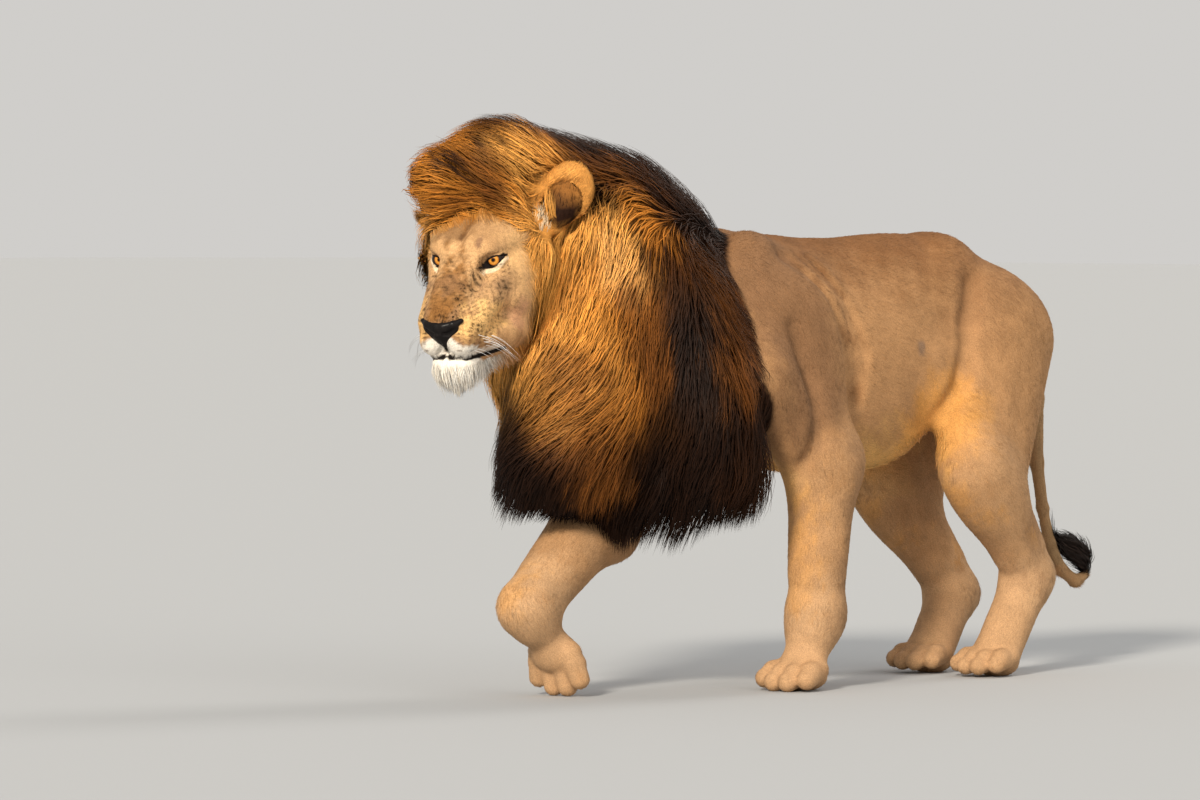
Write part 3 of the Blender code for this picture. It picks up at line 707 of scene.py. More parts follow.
def makeSkin():
    gathered = bmesh.new()
    body.rough(gathered, 0.005)
    head.rough(gathered, 0.0)
    mane.rough(gathered, coatDepth["mane"])
    tail.rough(gathered, 0.003)
    tuft.rough(gathered, 0.008)
    for ear in ears.values():
        ear.rough(gathered, 0.0)
    skin = newPiece("skin", gathered)
    remesh = skin.modifiers.new("fuse", "REMESH")
    remesh.mode = "VOXEL"
    remesh.voxel_size = skinShape["voxel"]
    bake(skin)
    keepLargest(skin)
    settle(skin.data, skinDistance, 3, 0.01)
    relax(skin, 0.5, 3)
    settle(skin.data, skinDistance, 2, 0.006)
    refine(skin.data, nearPaws)
    refine(skin.data, nearFace)
    settle(skin.data, skinDistance, 7, 0.006, nearDish)
    settle(skin.data, skinDistance, 2, 0.003, nearFace)
    refine(skin.data, nearFeatures)
    settle(skin.data, skinDistance, 2, 0.002, nearFeatures)
    refine(skin.data, nearLids)
    settle(skin.data, skinDistance, 3, 0.0012, nearLids)
    settle(skin.data, skinDistance, 2, 0.004, nearPaws)
    relax(skin, 0.35, 1)
    points = pointsOf(skin.data)
    points[:, 2] = np.maximum(points[:, 2], cadBox[0][2] - shift.z + skinShape["offFloor"])
    setPoints(skin.data, points)
    return skin


def keepLargest(piece):
    whole = bmesh.new()
    whole.from_mesh(piece.data)
    waiting, pieces = set(whole.verts), []
    while waiting:
        found, front = set(), [waiting.pop()]
        while front:
            vert = front.pop()
            found.add(vert)
            for edge in vert.link_edges:
                other = edge.other_vert(vert)
                if other in waiting:
                    waiting.remove(other)
                    front.append(other)
        pieces.append(found)
    pieces.sort(key=len, reverse=True)
    for spare in pieces[1:]:
        bmesh.ops.delete(whole, geom=list(spare), context="VERTS")
    whole.to_mesh(piece.data)
    whole.free()


# the lie of the hair: where it points, from guides of a place and a direction
def mirrored(rows):
    return rows + [((-p[0], p[1], p[2]), (-d[0], d[1], d[2])) for p, d in rows if p[0] != 0]


bodyLie = mirrored([
    ((0, -0.1, 0.98), (0, 1, 0)), ((0, 0.3, 0.98), (0, 1, 0)), ((0, 0.65, 0.97), (0, 1, -0.2)),
    ((0, 0.85, 0.9), (0, 0.6, -1)), ((0.13, -0.1, 0.88), (0, 0.6, -1)), ((0.16, -0.1, 0.7), (0, 0.25, -1)),
    ((0.17, 0.15, 0.85), (0, 1, -0.45)), ((0.18, 0.15, 0.7), (0, 1, -0.55)),
    ((0.17, 0.15, 0.55), (0, 1, -0.2)), ((0.16, 0.4, 0.85), (0, 1, -0.4)), ((0.16, 0.4, 0.7), (0, 1, -0.6)),
    ((0.15, 0.45, 0.55), (0, 0.6, -0.9)), ((0.12, 0.65, 0.9), (0, 0.8, -0.7)),
    ((0.15, 0.7, 0.8), (0, 0.4, -1)), ((0.1, 0.85, 0.8), (-0.1, 0.1, -1)), ((0.15, 0.6, 0.65), (0, 0.3, -1)),
    ((0.08, 0.9, 0.72), (0, 0, -1)), ((0, 0.0, 0.5), (0, 1, 0)), ((0, 0.3, 0.48), (0, 1, 0)),
    ((0, 0.5, 0.52), (0, 1, 0.1)),
])
faceLie = mirrored([
    ((0, -0.15, -0.07), (0, 0.5, 0.9)), ((0.02, -0.08, -0.03), (0, 0.6, 0.8)), ((0, 0.0, 0.04), (0, 0.35, 1)),
    ((0, 0.06, 0.09), (0, 0.8, 0.6)), ((0.05, -0.1, -0.07), (0.3, 0.9, 0.3)),
    ((0.04, -0.15, -0.12), (0.8, 0.6, -0.2)), ((0.07, -0.08, -0.12), (0.3, 0.95, -0.3)),
    ((0.08, 0.0, -0.06), (0.2, 1, -0.1)), ((0.064, -0.01, 0.03), (0.3, 0.3, 1)),
    ((0.064, -0.01, -0.035), (0.4, 0.8, -0.4)), ((0.1, 0.04, 0.02), (0.2, 1, 0.3)),
    ((0.12, 0.1, -0.05), (0.1, 1, -0.4)), ((0.1, 0.06, -0.13), (0.1, 0.7, -0.8)),
    ((0, -0.13, -0.19), (0, -0.1, -1)), ((0.05, -0.08, -0.2), (0.1, 0.4, -1)),
    ((0.04, 0.0, -0.21), (0, 0.7, -0.7)), ((0.158, 0.19, 0.09), (0.35, 0.1, 1)),
    ((0.158, 0.24, 0.09), (0.35, 0.1, 1)),
])
# The wind blows along the first axis of this frame, against u; v points to the near side.
wind = {"turn": 42.0}
maneLie = [
    # u, v, z and the direction there
    ((-0.61, 0.5, 1.16), (-0.8, 0, 0.45)), ((-0.5, 0.45, 1.22), (-0.9, 0, 0.25)),
    ((-0.74, 0.45, 1.1), (-1, 0, 0.0)), ((-0.52, 0.5, 1.1), (-0.85, 0, 0.35)),
    ((-0.72, 0.4, 0.98), (-0.9, -0.1, -0.3)), ((-0.33, 0.45, 1.08), (0.15, 0, -0.7)),
    ((-0.2, 0.35, 1.12), (-0.6, 0, 0.3)), ((-0.08, 0.3, 0.98), (0.1, 0, -0.9)),
    ((-0.37, 0.5, 0.86), (-0.25, 0, -1)), ((-0.455, 0.55, 0.69), (-0.5, 0, -0.85)),
    ((-0.37, 0.5, 0.6), (-0.75, 0, -0.65)), ((-0.24, 0.45, 0.8), (-0.35, 0, -0.9)),
    ((-0.154, 0.4, 0.97), (0.05, 0, -1)), ((-0.08, 0.35, 0.8), (0.1, 0, -1)),
    ((-0.09, 0.35, 0.58), (-0.2, 0, -1)), ((-0.175, 0.4, 0.43), (-0.5, 0, -0.9)),
    ((-0.5, 0.5, 0.48), (-0.65, 0, -0.75)), ((-0.56, 0.5, 0.56), (-0.65, 0, -0.8)),
    ((-0.5, 0.5, 0.9), (-0.05, 0.1, -1)), ((-0.49, 0.55, 0.8), (-0.3, 0, -1)),
    ((-0.2, 0.0, 0.9), (-0.4, -0.1, -1)), ((-0.4, 0.0, 0.9), (-0.6, -0.1, -0.8)),
    ((-0.6, 0.1, 1.05), (-0.9, -0.1, -0.2)), ((-0.4, 0.0, 0.6), (-0.6, 0, -0.9)),
    ((-0.2, 0.0, 0.6), (-0.4, 0, -1)), ((-0.3, 0.1, 1.15), (-0.7, -0.1, 0.1)),
    ((-0.45, 0.25, 1.22), (-0.95, 0, 0.15)), ((-0.25, 0.25, 1.15), (-0.7, 0, 0.15)),
    ((-0.1, 0.25, 1.05), (-0.4, 0, -0.2)), ((-0.3, 0.25, 0.36), (-0.6, 0, -0.8)),
]


def limbLie():
    rows = []
    for name in bones:
        joints = jointsOf(name)
        for start, end in zip(joints[1:], joints[2:]):
            along = (end - start).normalized()
            for share in (0.15, 0.5, 0.85):
                spot = start.lerp(end, share)
                rows.append((tuple(spot), tuple(along * 0.9 + Vector((0, 0.12, 0)))))
        rows.append((tuple(joints[4]), tuple((joints[4] - joints[3]).normalized() + Vector((0, 0, -0.4)))))
    for (start, _), (end, _) in zip(tailBones, tailBones[1:]):
        along = (Vector(end) - Vector(start)).normalized()
        rows.append((tuple((Vector(start) + Vector(end)) / 2), tuple(along)))
    return rows


def blendGuides(points, spots, aims, near):
    total = np.zeros_like(points)
    for spot, direction in zip(spots, aims):
        away = points - spot
        total += (1.0 / (np.einsum("ij,ij->i", away, away) + near * near) ** 2)[:, None] * direction
    return unit(total)


bodyRows = bodyLie + limbLie()
faceRows = [(tuple(headPlace @ Vector(p)), tuple(headPlace.to_3x3() @ Vector(d))) for p, d in faceLie]
shortSpots = np.array([p for p, _ in bodyRows + faceRows])
shortAims = unit(np.array([d for _, d in bodyRows + faceRows], float))


def fromWind(u, v, z):
    swing = math.radians(wind["turn"])
    return (u * math.cos(swing) + v * math.sin(swing), u * math.sin(swing) - v * math.cos(swing), z)


longSpots = np.array([fromWind(*p) for p, _ in maneLie])
longAims = unit(np.array([fromWind(*d) for _, d in maneLie]))


def shortLie(points):
    return blendGuides(points, shortSpots, shortAims, 0.02)


def longLie(points):
    return blendGuides(points, longSpots, longAims, 0.05)


# colours: soft brushes in the animal's axes or the head's, each a shape, a fade, a strength and a colour
colours = {
    # back: the coat's own darker brown, also laid as painted shade along the top of the back and in the folds
    "sand": (0.4, 0.215, 0.096), "back": (0.165, 0.068, 0.023), "cream": (0.49, 0.3, 0.16),
    # belly: a paler coat, lightened as painted light; shade: a darker brown laid as painted shade; the
    # forehead colour: its brown darkened as painted shade under the forelock
    "belly": (0.66, 0.37, 0.12), "shade": (0.215, 0.112, 0.054), "foreheadBrownAndShade": (0.225, 0.117, 0.048),
    # gold: the coat's own orange-gold, also laid as painted light down the front of the lower legs
    "gold": (0.62, 0.29, 0.07), "hock": (0.28, 0.15, 0.08), "scar": (0.13, 0.1, 0.085),
    "wound": (0.3, 0.06, 0.035), "face": (0.62, 0.36, 0.165), "bridge": (0.26, 0.11, 0.026),
    "greyEye": (0.27, 0.155, 0.085), "brow": (0.5, 0.285, 0.13), "black": (0.01, 0.007, 0.006),
    # muzzle: its own orange, lightened as painted light
    "white": (0.9, 0.83, 0.72), "underEye": (0.84, 0.66, 0.44), "muzzle": (0.95, 0.57, 0.22),
    "cheek": (0.74, 0.44, 0.19), "spot": (0.09, 0.042, 0.022), "pink": (0.55, 0.27, 0.17),
    # inside the ear: the near-black colour is painted shade in the way in, and the brown is the ear hair
    # darkened as painted shade in the dish
    "earCanalShade": (0.022, 0.009, 0.005), "earBack": (0.66, 0.3, 0.072), "earBrownAndShade": (0.26, 0.105, 0.024),
    "maneDark": (0.022, 0.008, 0.003), "maneGold": (0.74, 0.34, 0.075), "maneOrange": (0.46, 0.165, 0.022),
    "maneBrown": (0.15, 0.05, 0.009), "maneTan": (0.62, 0.3, 0.085), "maneBlack": (0.01, 0.004, 0.002),
    "tailGrey": (0.32, 0.2, 0.1), "tuftBlack": (0.014, 0.009, 0.007),
}


def limbShape(start, end, startRadius, endRadius=None):
    return ("limb", Vector(start), Vector(end), startRadius, endRadius or startRadius, 1.0)


def ballShape(centre, radii):
    radii = (radii,) * 3 if isinstance(radii, float) else radii
    return ("ball", Vector(centre), radii, Matrix.Identity(3))


def bodyPaint():
    rows = [
        # painted shade along the top of the back, over the coat's own darker brown
        (limbShape((0, -0.2, 1.0), (0, 0.8, 0.95), 0.04), 0.2, 0.85, "back"),
        # the belly's paler coat, lightened as painted light where the underside lies in shade
        (limbShape((0, -0.1, 0.46), (0, 0.45, 0.5), 0.07), 0.12, 0.95, "belly"),
    ]
    for _, side in sides:
        fore, hind = (jointsOf(name) for name in limbNames[side])
        rows += [
            # painted shade over the shoulder and the top of the rump, partly the coat's own darker brown
            (limbShape((side * 0.14, -0.14, 0.92), (side * 0.17, -0.1, 0.66), 0.07), 0.13, 0.95, "shade"),
            (ballShape((side * 0.13, 0.56, 0.86), 0.05), 0.12, 0.45, "shade"),
            (limbShape(fore[1], fore[2], 0.03), 0.12, 0.45, "cream"),
            (limbShape(fore[2], fore[4], 0.07), 0.07, 0.75, "cream"),
            (limbShape(hind[1], hind[2], 0.05), 0.12, 0.45, "cream"),
            (limbShape(hind[2], hind[4], 0.07), 0.07, 0.7, "cream"),
            (ballShape((side * 0.11, 0.44, 0.58), 0.06), 0.1, 0.75, "gold"),
            # painted shade down the rear edge of the forearm and of the shin
            (limbShape(
                fore[1] + Vector((side * 0.05, 0.02, 0)), fore[2] + Vector((side * 0.04, 0.02, 0)), 0.02,
            ), 0.05, 0.4, "shade"),
            (
                limbShape(hind[1].lerp(hind[2], 0.5) + Vector((side * 0.03, 0.04, 0)), hind[2], 0.02), 0.05,
                0.45, "shade",
            ),
            # painted light: orange-gold down the front of the forearm and of the shin, the side the light
            # falls on
            (
                limbShape(fore[1] + Vector((0, -0.06, -0.08)), fore[2] + Vector((0, -0.05, 0.03)), 0.012),
                0.04, 0.4, "gold",
            ),
            (
                limbShape(hind[1] + Vector((0, -0.05, -0.06)), hind[2] + Vector((0, -0.04, 0.1)), 0.015),
                0.045, 0.45, "gold",
            ),
            (ballShape(hind[2] + Vector((-side * 0.01, 0.045, -0.01)), 0.022), 0.03, 0.8, "hock"),
            (ballShape(fore[2] + Vector((0, 0.05, -0.01)), 0.012), 0.03, 0.55, "hock"),
            # painted light: the lightened belly colour low on the flank
            (ballShape((side * 0.1, 0.4, 0.5), 0.03), 0.07, 0.5, "belly"),
        ]
    # painted shade: the back colour laid thinly along each fold line, as shade in the crease
    for line in foldLines:
        rows += [(limbShape(start, end, 0.003), 0.013, 0.5, "back") for start, end in zip(line, line[1:])]
    rows += [
        (ballShape((0.17, 0.345, 0.745), (0.03, 0.012, 0.012)), 0.01, 0.55, "scar"),
        (ballShape(jointsOf("hindLeft")[3] + Vector((0.03, -0.055, -0.01)), 0.007), 0.01, 0.75, "wound"),
        (limbShape(tailBones[1][0], tailBones[5][0], 0.03), 0.04, 0.75, "tailGrey"),
        (limbShape(tailBones[5][0], tailBones[8][0], 0.03), 0.03, 0.65, "tailGrey"),
    ]
    return rows


def lipGap(local):
    # distance from the line of the lips, measured up and down its own curtain
    best = np.full(len(local), 1.0)
    spots = np.array(lipSpots)
    flat = np.column_stack((np.abs(local[:, 0]), local[:, 1]))
    for start, end in zip(spots, spots[1:]):
        along = (end - start)[:2]
        share = np.clip(((flat - start[:2]) @ along) / (along @ along), 0, 1)
        aside = np.linalg.norm(flat - start[:2] - share[:, None] * along, axis=1)
        rise = local[:, 2] - (start[2] + share * (end[2] - start[2])) + 0.0024
        best = np.minimum(best, np.hypot(rise, np.maximum(aside - 0.012, 0)))
    past = np.maximum(-0.158 - local[:, 2], 0) + np.maximum(local[:, 2] + 0.138, 0)
    middle = np.hypot(local[:, 0], past)  # the short line from the mouth up to the nose
    return np.where(local[:, 1] < -0.13, np.minimum(best, middle + 0.0012), best)


def facePaint():
    rows = [
        (ballShape((0, 0.02, -0.02), (0.125, 0.14, 0.17)), 0.06, 1.0, "face"),
        # painted shade: the forehead darkened as under the forelock, over its own brown
        (ballShape((-0.01, 0.03, 0.085), (0.075, 0.06, 0.035)), 0.035, 0.8, "foreheadBrownAndShade"),
        (ballShape((0.055, 0.02, 0.045), (0.045, 0.04, 0.02)), 0.018, 0.9, "brow"),
        (limbShape((0, -0.155, -0.078), (0, -0.02, 0.0), 0.022), 0.03, 0.85, "bridge"),
        (ballShape((0, -0.085, -0.04), (0.02, 0.02, 0.02)), 0.025, 0.45, "greyEye"),
    ]
    for _, side in sides:
        rows += [
            (limbShape((side * 0.095, 0.06, 0.03), (side * 0.12, 0.09, -0.06), 0.02), 0.05, 0.65, "cheek"),
            (ballShape((side * 0.07, -0.02, -0.05), (0.028, 0.03, 0.012)), 0.022, 0.6, "greyEye"),
            (
                limbShape((side * 0.046, -0.07, -0.075), (side * 0.056, -0.03, -0.06), 0.012), 0.022, 0.45,
                "greyEye",
            ),
            # the muzzle's own orange, lightened as painted light
            (
                limbShape((side * 0.04, -0.132, -0.108), (side * 0.07, -0.05, -0.11), 0.025), 0.025, 0.9,
                "muzzle",
            ),
            (
                limbShape((side * 0.016, -0.17, -0.146), (side * 0.044, -0.13, -0.164), 0.02), 0.01, 0.95,
                "white",
            ),
            (
                limbShape((side * 0.044, -0.125, -0.17), (side * 0.072, -0.05, -0.18), 0.009), 0.01, 0.6,
                "white",
            ),
            (
                limbShape((side * 0.095, 0.035, -0.105), (side * 0.085, 0.03, -0.145), 0.008), 0.02, 0.45,
                "pink",
            ),
            (ballShape((side * 0.112, 0.072, -0.084), (0.02, 0.012, 0.011)), 0.008, 0.9, "spot"),
        ]
        dots = [
            (side * (0.036 + 0.01 * place), -0.155 + 0.02 * place, -0.12 - 0.0095 * row - 0.003 * place)
            for row in range(4) for place in range(5)
        ]
        for spot in onSurface(head, dots):
            rows.append((ballShape(spot, (0.0045, 0.0045, 0.0013)), 0.002, 0.7, "spot"))
    rows += [
        (ballShape((0, -0.118, -0.203), (0.055, 0.064, 0.034)), 0.012, 1.0, "white"),
        (limbShape((0, -0.168, -0.148), (0, -0.16, -0.176), 0.014), 0.008, 0.95, "white"),
    ]
    rows.append((ballShape((0.046, -0.008, 0.042), (0.004, 0.02, 0.011)), 0.006, 0.85, "hock"))
    scratch = onSurface(head, ((0.018, 0.055, 0.1), (0.008, 0.02, 0.075), (-0.002, -0.012, 0.05)))
    rows += [
        (limbShape(start, end, 0.0014), 0.0045, 0.75, "spot") for start, end in zip(scratch, scratch[1:])
    ]
    rows.append((limbShape((0.004, 0.03, 0.08), (-0.012, -0.02, 0.03), 0.004), 0.01, 0.4, "bridge"))
    # painted shade: near black in the way in of each ear
    for _, side in sides:
        rows.append((ballShape((side * 0.134, 0.185, 0.06), (0.036, 0.05, 0.044)), 0.014, 0.95, "earCanalShade"))
    return rows


def streak(u, z, uEnd, zEnd, radius, near=0.42):
    # a brush along the near side of the mane
    return limbShape(fromWind(u, near, z), fromWind(uEnd, near, zEnd), radius)


def manePaint():
    return [
        (ballShape((0.0, -0.38, 0.72), (0.16, 0.16, 0.22)), 0.1, 0.75, "maneBrown"),
        (ballShape(tuple(onHead(0, 0.15, -0.1)), (0.18, 0.2, 0.25)), 0.1, 0.95, "maneGold"),
        (streak(-0.48, 0.88, -0.42, 0.66, 0.09), 0.08, 0.8, "maneGold"),
        (streak(-0.36, 0.9, -0.33, 0.62, 0.07), 0.08, 0.65, "maneOrange"),
        (streak(-0.44, 0.64, -0.36, 0.5, 0.08), 0.08, 0.75, "maneBrown"),
        (ballShape(tuple(onHead(0, 0.12, 0.15)), (0.15, 0.17, 0.1)), 0.06, 0.85, "maneOrange"),
        (streak(-0.56, 1.17, -0.49, 1.07, 0.05), 0.05, 0.75, "maneGold"),
        (streak(-0.34, 1.12, -0.32, 1.0, 0.05), 0.06, 0.85, "maneGold"),
        (streak(-0.33, 0.96, -0.29, 0.9, 0.03), 0.05, 0.8, "maneTan"),
        (limbShape((-0.2, -0.6, 1.235), (-0.1, -0.38, 1.15), 0.012), 0.035, 0.8, "maneBlack"),
        (limbShape((-0.1, -0.38, 1.15), (0.0, -0.15, 0.98), 0.03), 0.05, 0.8, "maneBlack"),
        (streak(-0.19, 1.03, -0.15, 0.72, 0.055), 0.07, 0.9, "maneDark"),
        (streak(-0.15, 0.74, -0.2, 0.48, 0.075), 0.09, 0.9, "maneBlack"),
        (streak(-0.1, 0.96, -0.06, 0.66, 0.02), 0.05, 0.55, "maneBrown"),
        (limbShape((-0.28, -0.4, 0.75), (-0.15, -0.3, 0.55), 0.1), 0.1, 0.85, "maneBlack"),
        (ballShape((-0.08, -0.45, 0.41), (0.22, 0.26, 0.09)), 0.1, 0.88, "maneBlack"),
        (
            limbShape(tuple(onHead(0.01, 0.02, -0.27)), fromWind(-0.57, 0.4, 0.46), 0.035, 0.06), 0.05, 0.92,
            "maneBlack",
        ),
        (streak(-0.75, 1.16, -0.69, 1.09, 0.03, 0.5), 0.04, 0.7, "maneOrange"),
        (streak(-0.74, 1.22, -0.687, 1.166, 0.022, 0.5), 0.03, 0.92, "maneDark"),
        (streak(-0.687, 1.166, -0.61, 1.09, 0.02, 0.5), 0.03, 0.92, "maneDark"),
        (streak(-0.64, 1.175, -0.585, 1.12, 0.016, 0.48), 0.03, 0.75, "maneBrown"),
        (streak(-0.68, 1.08, -0.6, 1.065, 0.016, 0.5), 0.03, 0.8, "maneBrown"),
        (streak(-0.74, 1.25, -0.45, 1.28, 0.03, 0.45), 0.04, 0.85, "maneDark"),
        (streak(-0.37, 1.17, -0.27, 1.05, 0.03, 0.36), 0.06, 0.85, "maneBrown"),
        (streak(-0.3, 1.08, -0.24, 0.98, 0.018, 0.36), 0.045, 0.7, "maneOrange"),
        (streak(-0.285, 0.84, -0.27, 0.68, 0.03), 0.045, 0.85, "maneBrown"),
        (streak(-0.4, 0.54, -0.36, 0.45, 0.034), 0.055, 0.8, "maneBrown"),
    ]


def laid(colour, rows, local, ruffle):
    # each brush lays its colour over what is there; ruffle breaks its edge
    for shape, fade, strength, name in rows:
        middle, size = spanOf(shape)
        away = local - middle
        close = np.flatnonzero(np.einsum("ij,ij->i", away, away) < (size + fade * 1.6) ** 2)
        if len(close) == 0:
            continue
        edge = shapeDistance(shape, local[close]) + ruffle[close] * min(fade, 0.05) * 0.35
        share = (strength * (1 - ease(0.0, fade, edge)))[:, None]
        colour[close] = colour[close] * (1 - share) + np.array(colours[name]) * share
    return colour


def shortColour(points):
    ruffle = drift(points, 55.0, 3)[:, 0] + drift(points, 240.0, 4)[:, 1] * 0.6
    colour = np.tile(np.array(colours["sand"]), (len(points), 1))
    laid(colour, bodyPaint(), points, ruffle)
    local = turned(points, headPlace)
    blotch = ease(-0.25, 1.3, drift(points, 420.0, 7)[:, 0] * 0.8 + drift(points, 760.0, 8)[:, 1] * 0.9)
    front = ease(0.06, -0.03, local[:, 1]) * ease(0.05, 0.0, local[:, 2]) * ease(-0.16, -0.11, local[:, 2])
    broad = ease(-0.6, 1.4, drift(points, 70.0, 9)[:, 2])
    laid(colour, facePaint(), local, ruffle)
    onFace = np.linalg.norm(local / (0.15, 0.2, 0.22), axis=1) < 1.1
    mottle = 0.66 * blotch * front * (0.55 + 0.45 * broad) + 0.22 * broad * front + 0.16 * blotch
    colour[:] = colour * (1 - onFace[:, None] * mottle[:, None])
    for _, side in sides:
        outside = (ears[side].distance(points) < 0.009) | (dishes[side].distance(points) < 0.004)
        inside = ease(0.0055, 0.0015, dishes[side].distance(points[outside]))[:, None]
        # painted shade inside the dish: the ear hair's brown darkens to near black toward the way in
        way = np.linalg.norm((local - (side * 0.138, 0.178, 0.054)) / (0.06, 0.08, 0.046), axis=1)
        lit = ease(0.85, 1.25, way)[outside, None]
        within = np.array(colours["earCanalShade"]) * (1 - lit) + np.array(colours["earBrownAndShade"]) * lit
        colour[outside] = np.array(colours["earBack"]) * (1 - inside) + within * inside
        # the black rim of the lids, its streak at the inner corner and the pale band below
        slit = lidSlit(points, side)
        centre = np.array((side * eye["spread"], eye["back"], 0.0))
        place = (local - centre) * (side, 1, 1)
        front = (place[:, 1] < 0.012) & (np.linalg.norm(place, axis=1) < 0.055)
        band = front * (1 - ease(0.0115, 0.0145, slit)) * ease(
            -0.001, -0.006, place[:, 2] - 0.5 * place[:, 0] + 0.004,
        ) * 0.92
        colour[:] = colour * (1 - band[:, None]) + np.array(colours["underEye"]) * band[:, None]
        rim = front * (1 - ease(0.0042, 0.0058, slit))
        inner = shapeDistance(
            limbShape((-0.019, -0.018, -0.009), (-0.031, -0.022, -0.022), 0.0054, 0.003), place,
        )
        outer = shapeDistance(limbShape((0.019, -0.008, 0.01), (0.027, -0.001, 0.014), 0.0032, 0.0016), place)
        rim = np.maximum(rim, front * (1 - ease(0.0, 0.0025, np.minimum(inner, outer))))
        rim = np.maximum(rim, ease(0.0052, 0.0036, lipGap(local)))[:, None]
        colour[:] = colour * (1 - rim) + np.array(colours["black"]) * rim
    return colour


def longColour(points):
    ruffle = drift(points, 30.0, 5)[:, 0] + drift(points, 110.0, 6)[:, 1]
    colour = np.tile(np.array(colours["maneDark"]), (len(points), 1))
    return laid(colour, manePaint(), points, ruffle)


def maneShare(points):
    # 1 where the mane covers the skin, 0 where the coat is short
    return ease(-0.002, -0.012, maneOutline.distance(points))


def skinColour(points):
    covered = maneShare(points)[:, None]
    black = ease(0.012, 0.002, tuft.distance(points))[:, None]
    # under the mane the skin takes the mane's colour at three quarters, as painted shade deep in the mane
    colour = shortColour(points) * (1 - covered) + longColour(points) * 0.75 * covered
    return colour * (1 - black) + np.array(colours["tuftBlack"]) * black


# the coat: closed tapered locks rooted in the skin
class Ground:
    def __init__(self, mesh):
        mesh.calc_loop_triangles()
        count = len(mesh.loop_triangles)
        self.corners, loops = np.empty(count * 3, int), np.empty(count * 3, int)
        mesh.loop_triangles.foreach_get("vertices", self.corners)
        mesh.loop_triangles.foreach_get("loops", loops)
        self.corners = self.corners.reshape(-1, 3)
        self.points, self.normals = pointsOf(mesh), normalsOf(mesh)
        unwrap = np.empty(len(mesh.loops) * 2)
        mesh.uv_layers["OFBake"].data.foreach_get("uv", unwrap)
        self.unwrap = unwrap.reshape(-1, 2)[loops].reshape(-1, 3, 2)
        a, b, c = (self.points[self.corners[:, i]] for i in range(3))
        self.areas = np.linalg.norm(np.cross(b - a, c - a), axis=1) / 2
        self.middles = (a + b + c) / 3
        self.tree = kdtree.KDTree(len(self.points))
        for index, point in enumerate(self.points):
            self.tree.insert(point, index)
        self.tree.balance()

    def scatter(self, density, most, rng):
        # roots on the skin: their places, normals and places on the unwrap; density is per square metre
        hopes = self.areas * density
        count = int(min(hopes.sum(), most))
        picked = np.searchsorted(np.cumsum(hopes) / hopes.sum(), rng.random(count)).clip(0, len(hopes) - 1)
        share = rng.random((count, 2))
        over = share.sum(1) > 1
        share[over] = 1 - share[over]
        share = np.column_stack((1 - share.sum(1), share))
        corners = self.corners[picked]
        places = np.einsum("ij,ijk->ik", share, self.points[corners])
        normals = unit(np.einsum("ij,ijk->ik", share, self.normals[corners]))
        return places, normals, np.einsum("ij,ijk->ik", share, self.unwrap[picked])

    def nearest(self, points):
        found = np.fromiter((self.tree.find(point)[1] for point in points), int, len(points))
        return self.points[found], self.normals[found]


def tuftMesh(name, paths, widths, ups, colour, unwrap, flat=0.4, bend=0.45):
    # paths: tufts x rings x 3, the last ring is the tip; widths: tufts x (rings - 1)
    count, rings = paths.shape[0], paths.shape[1]
    along = unit(np.gradient(paths, axis=1))
    across = unit(np.cross(along, ups))
    over = np.cross(across, along)
    shaft = rings - 1
    half = widths[:, :, None]
    corners = np.stack((
        paths[:, :shaft] - across[:, :shaft] * half - over[:, :shaft] * half * flat * 0.5,
        paths[:, :shaft] + across[:, :shaft] * half - over[:, :shaft] * half * flat * 0.5,
        paths[:, :shaft] + over[:, :shaft] * half * flat,
    ), axis=2)
    points = np.concatenate((corners.reshape(count, shaft * 3, 3), paths[:, -1:]), axis=1)
    size = shaft * 3 + 1
    faces = [(0, 1, 2)]
    quads = []
    for ring in range(shaft - 1):
        for side in range(3):
            a, b = ring * 3 + side, ring * 3 + (side + 1) % 3
            quads.append((a, a + 3, b + 3, b))
    tips = [((shaft - 1) * 3 + side, size - 1, (shaft - 1) * 3 + (side + 1) % 3) for side in range(3)]
    outline = faces + quads + tips
    pattern = np.array([corner for face in outline for corner in face])
    sizes = np.array([len(face) for face in outline])
    loops = (np.arange(count)[:, None] * size + pattern).ravel()
    totals = np.tile(sizes, count)
    mesh = bpy.data.meshes.new(name)
    mesh.vertices.add(count * size)
    mesh.vertices.foreach_set("co", points.ravel())
    mesh.loops.add(len(loops))
    mesh.loops.foreach_set("vertex_index", loops)
    mesh.polygons.add(len(totals))
    mesh.polygons.foreach_set("loop_start", np.concatenate(([0], np.cumsum(totals)[:-1])))
    mesh.update(calc_edges=True)
    tint = mesh.attributes.new("coatColour", "FLOAT_COLOR", "POINT")
    rows = np.ones((count, size, 4))
    ringOf = np.array([ring for ring in range(shaft) for _ in range(3)] + [rings - 1])
    rows[:, :, :3] = colour[:, ringOf]
    tint.data.foreach_set("color", rows.ravel())
    layer = mesh.uv_layers.new(name="OFBake")
    patch = np.zeros((size, 2))
    patch[:, 0] = [(c % 3 - 1) * 0.0012 for c in range(size - 1)] + [0.0]
    patch[:, 1] = (ringOf / (rings - 1) - 0.5) * 0.0028
    places = unwrap[:, None, :] + patch[None]
    layer.data.foreach_set("uv", places[:, pattern].ravel())
    mesh.shade_smooth()
    facing = unit(over * 0.6 + ups * 0.6)  # light falls on a tuft as on the hair round it, not as on a spike
    edges = [unit(facing[:, :shaft] + across[:, :shaft] * lean) for lean in (-bend, bend, 0.0)]
    turnedTo = np.stack(edges, axis=2)
    normals = np.concatenate((turnedTo.reshape(count, shaft * 3, 3), facing[:, -1:]), axis=1)
    mesh.normals_split_custom_set_from_vertices(normals.reshape(-1, 3).tolist())
    mesh.transform(Matrix.Translation(shift))
    piece = bpy.data.objects.new(name, mesh)
    scene.collection.objects.link(piece)
    return piece


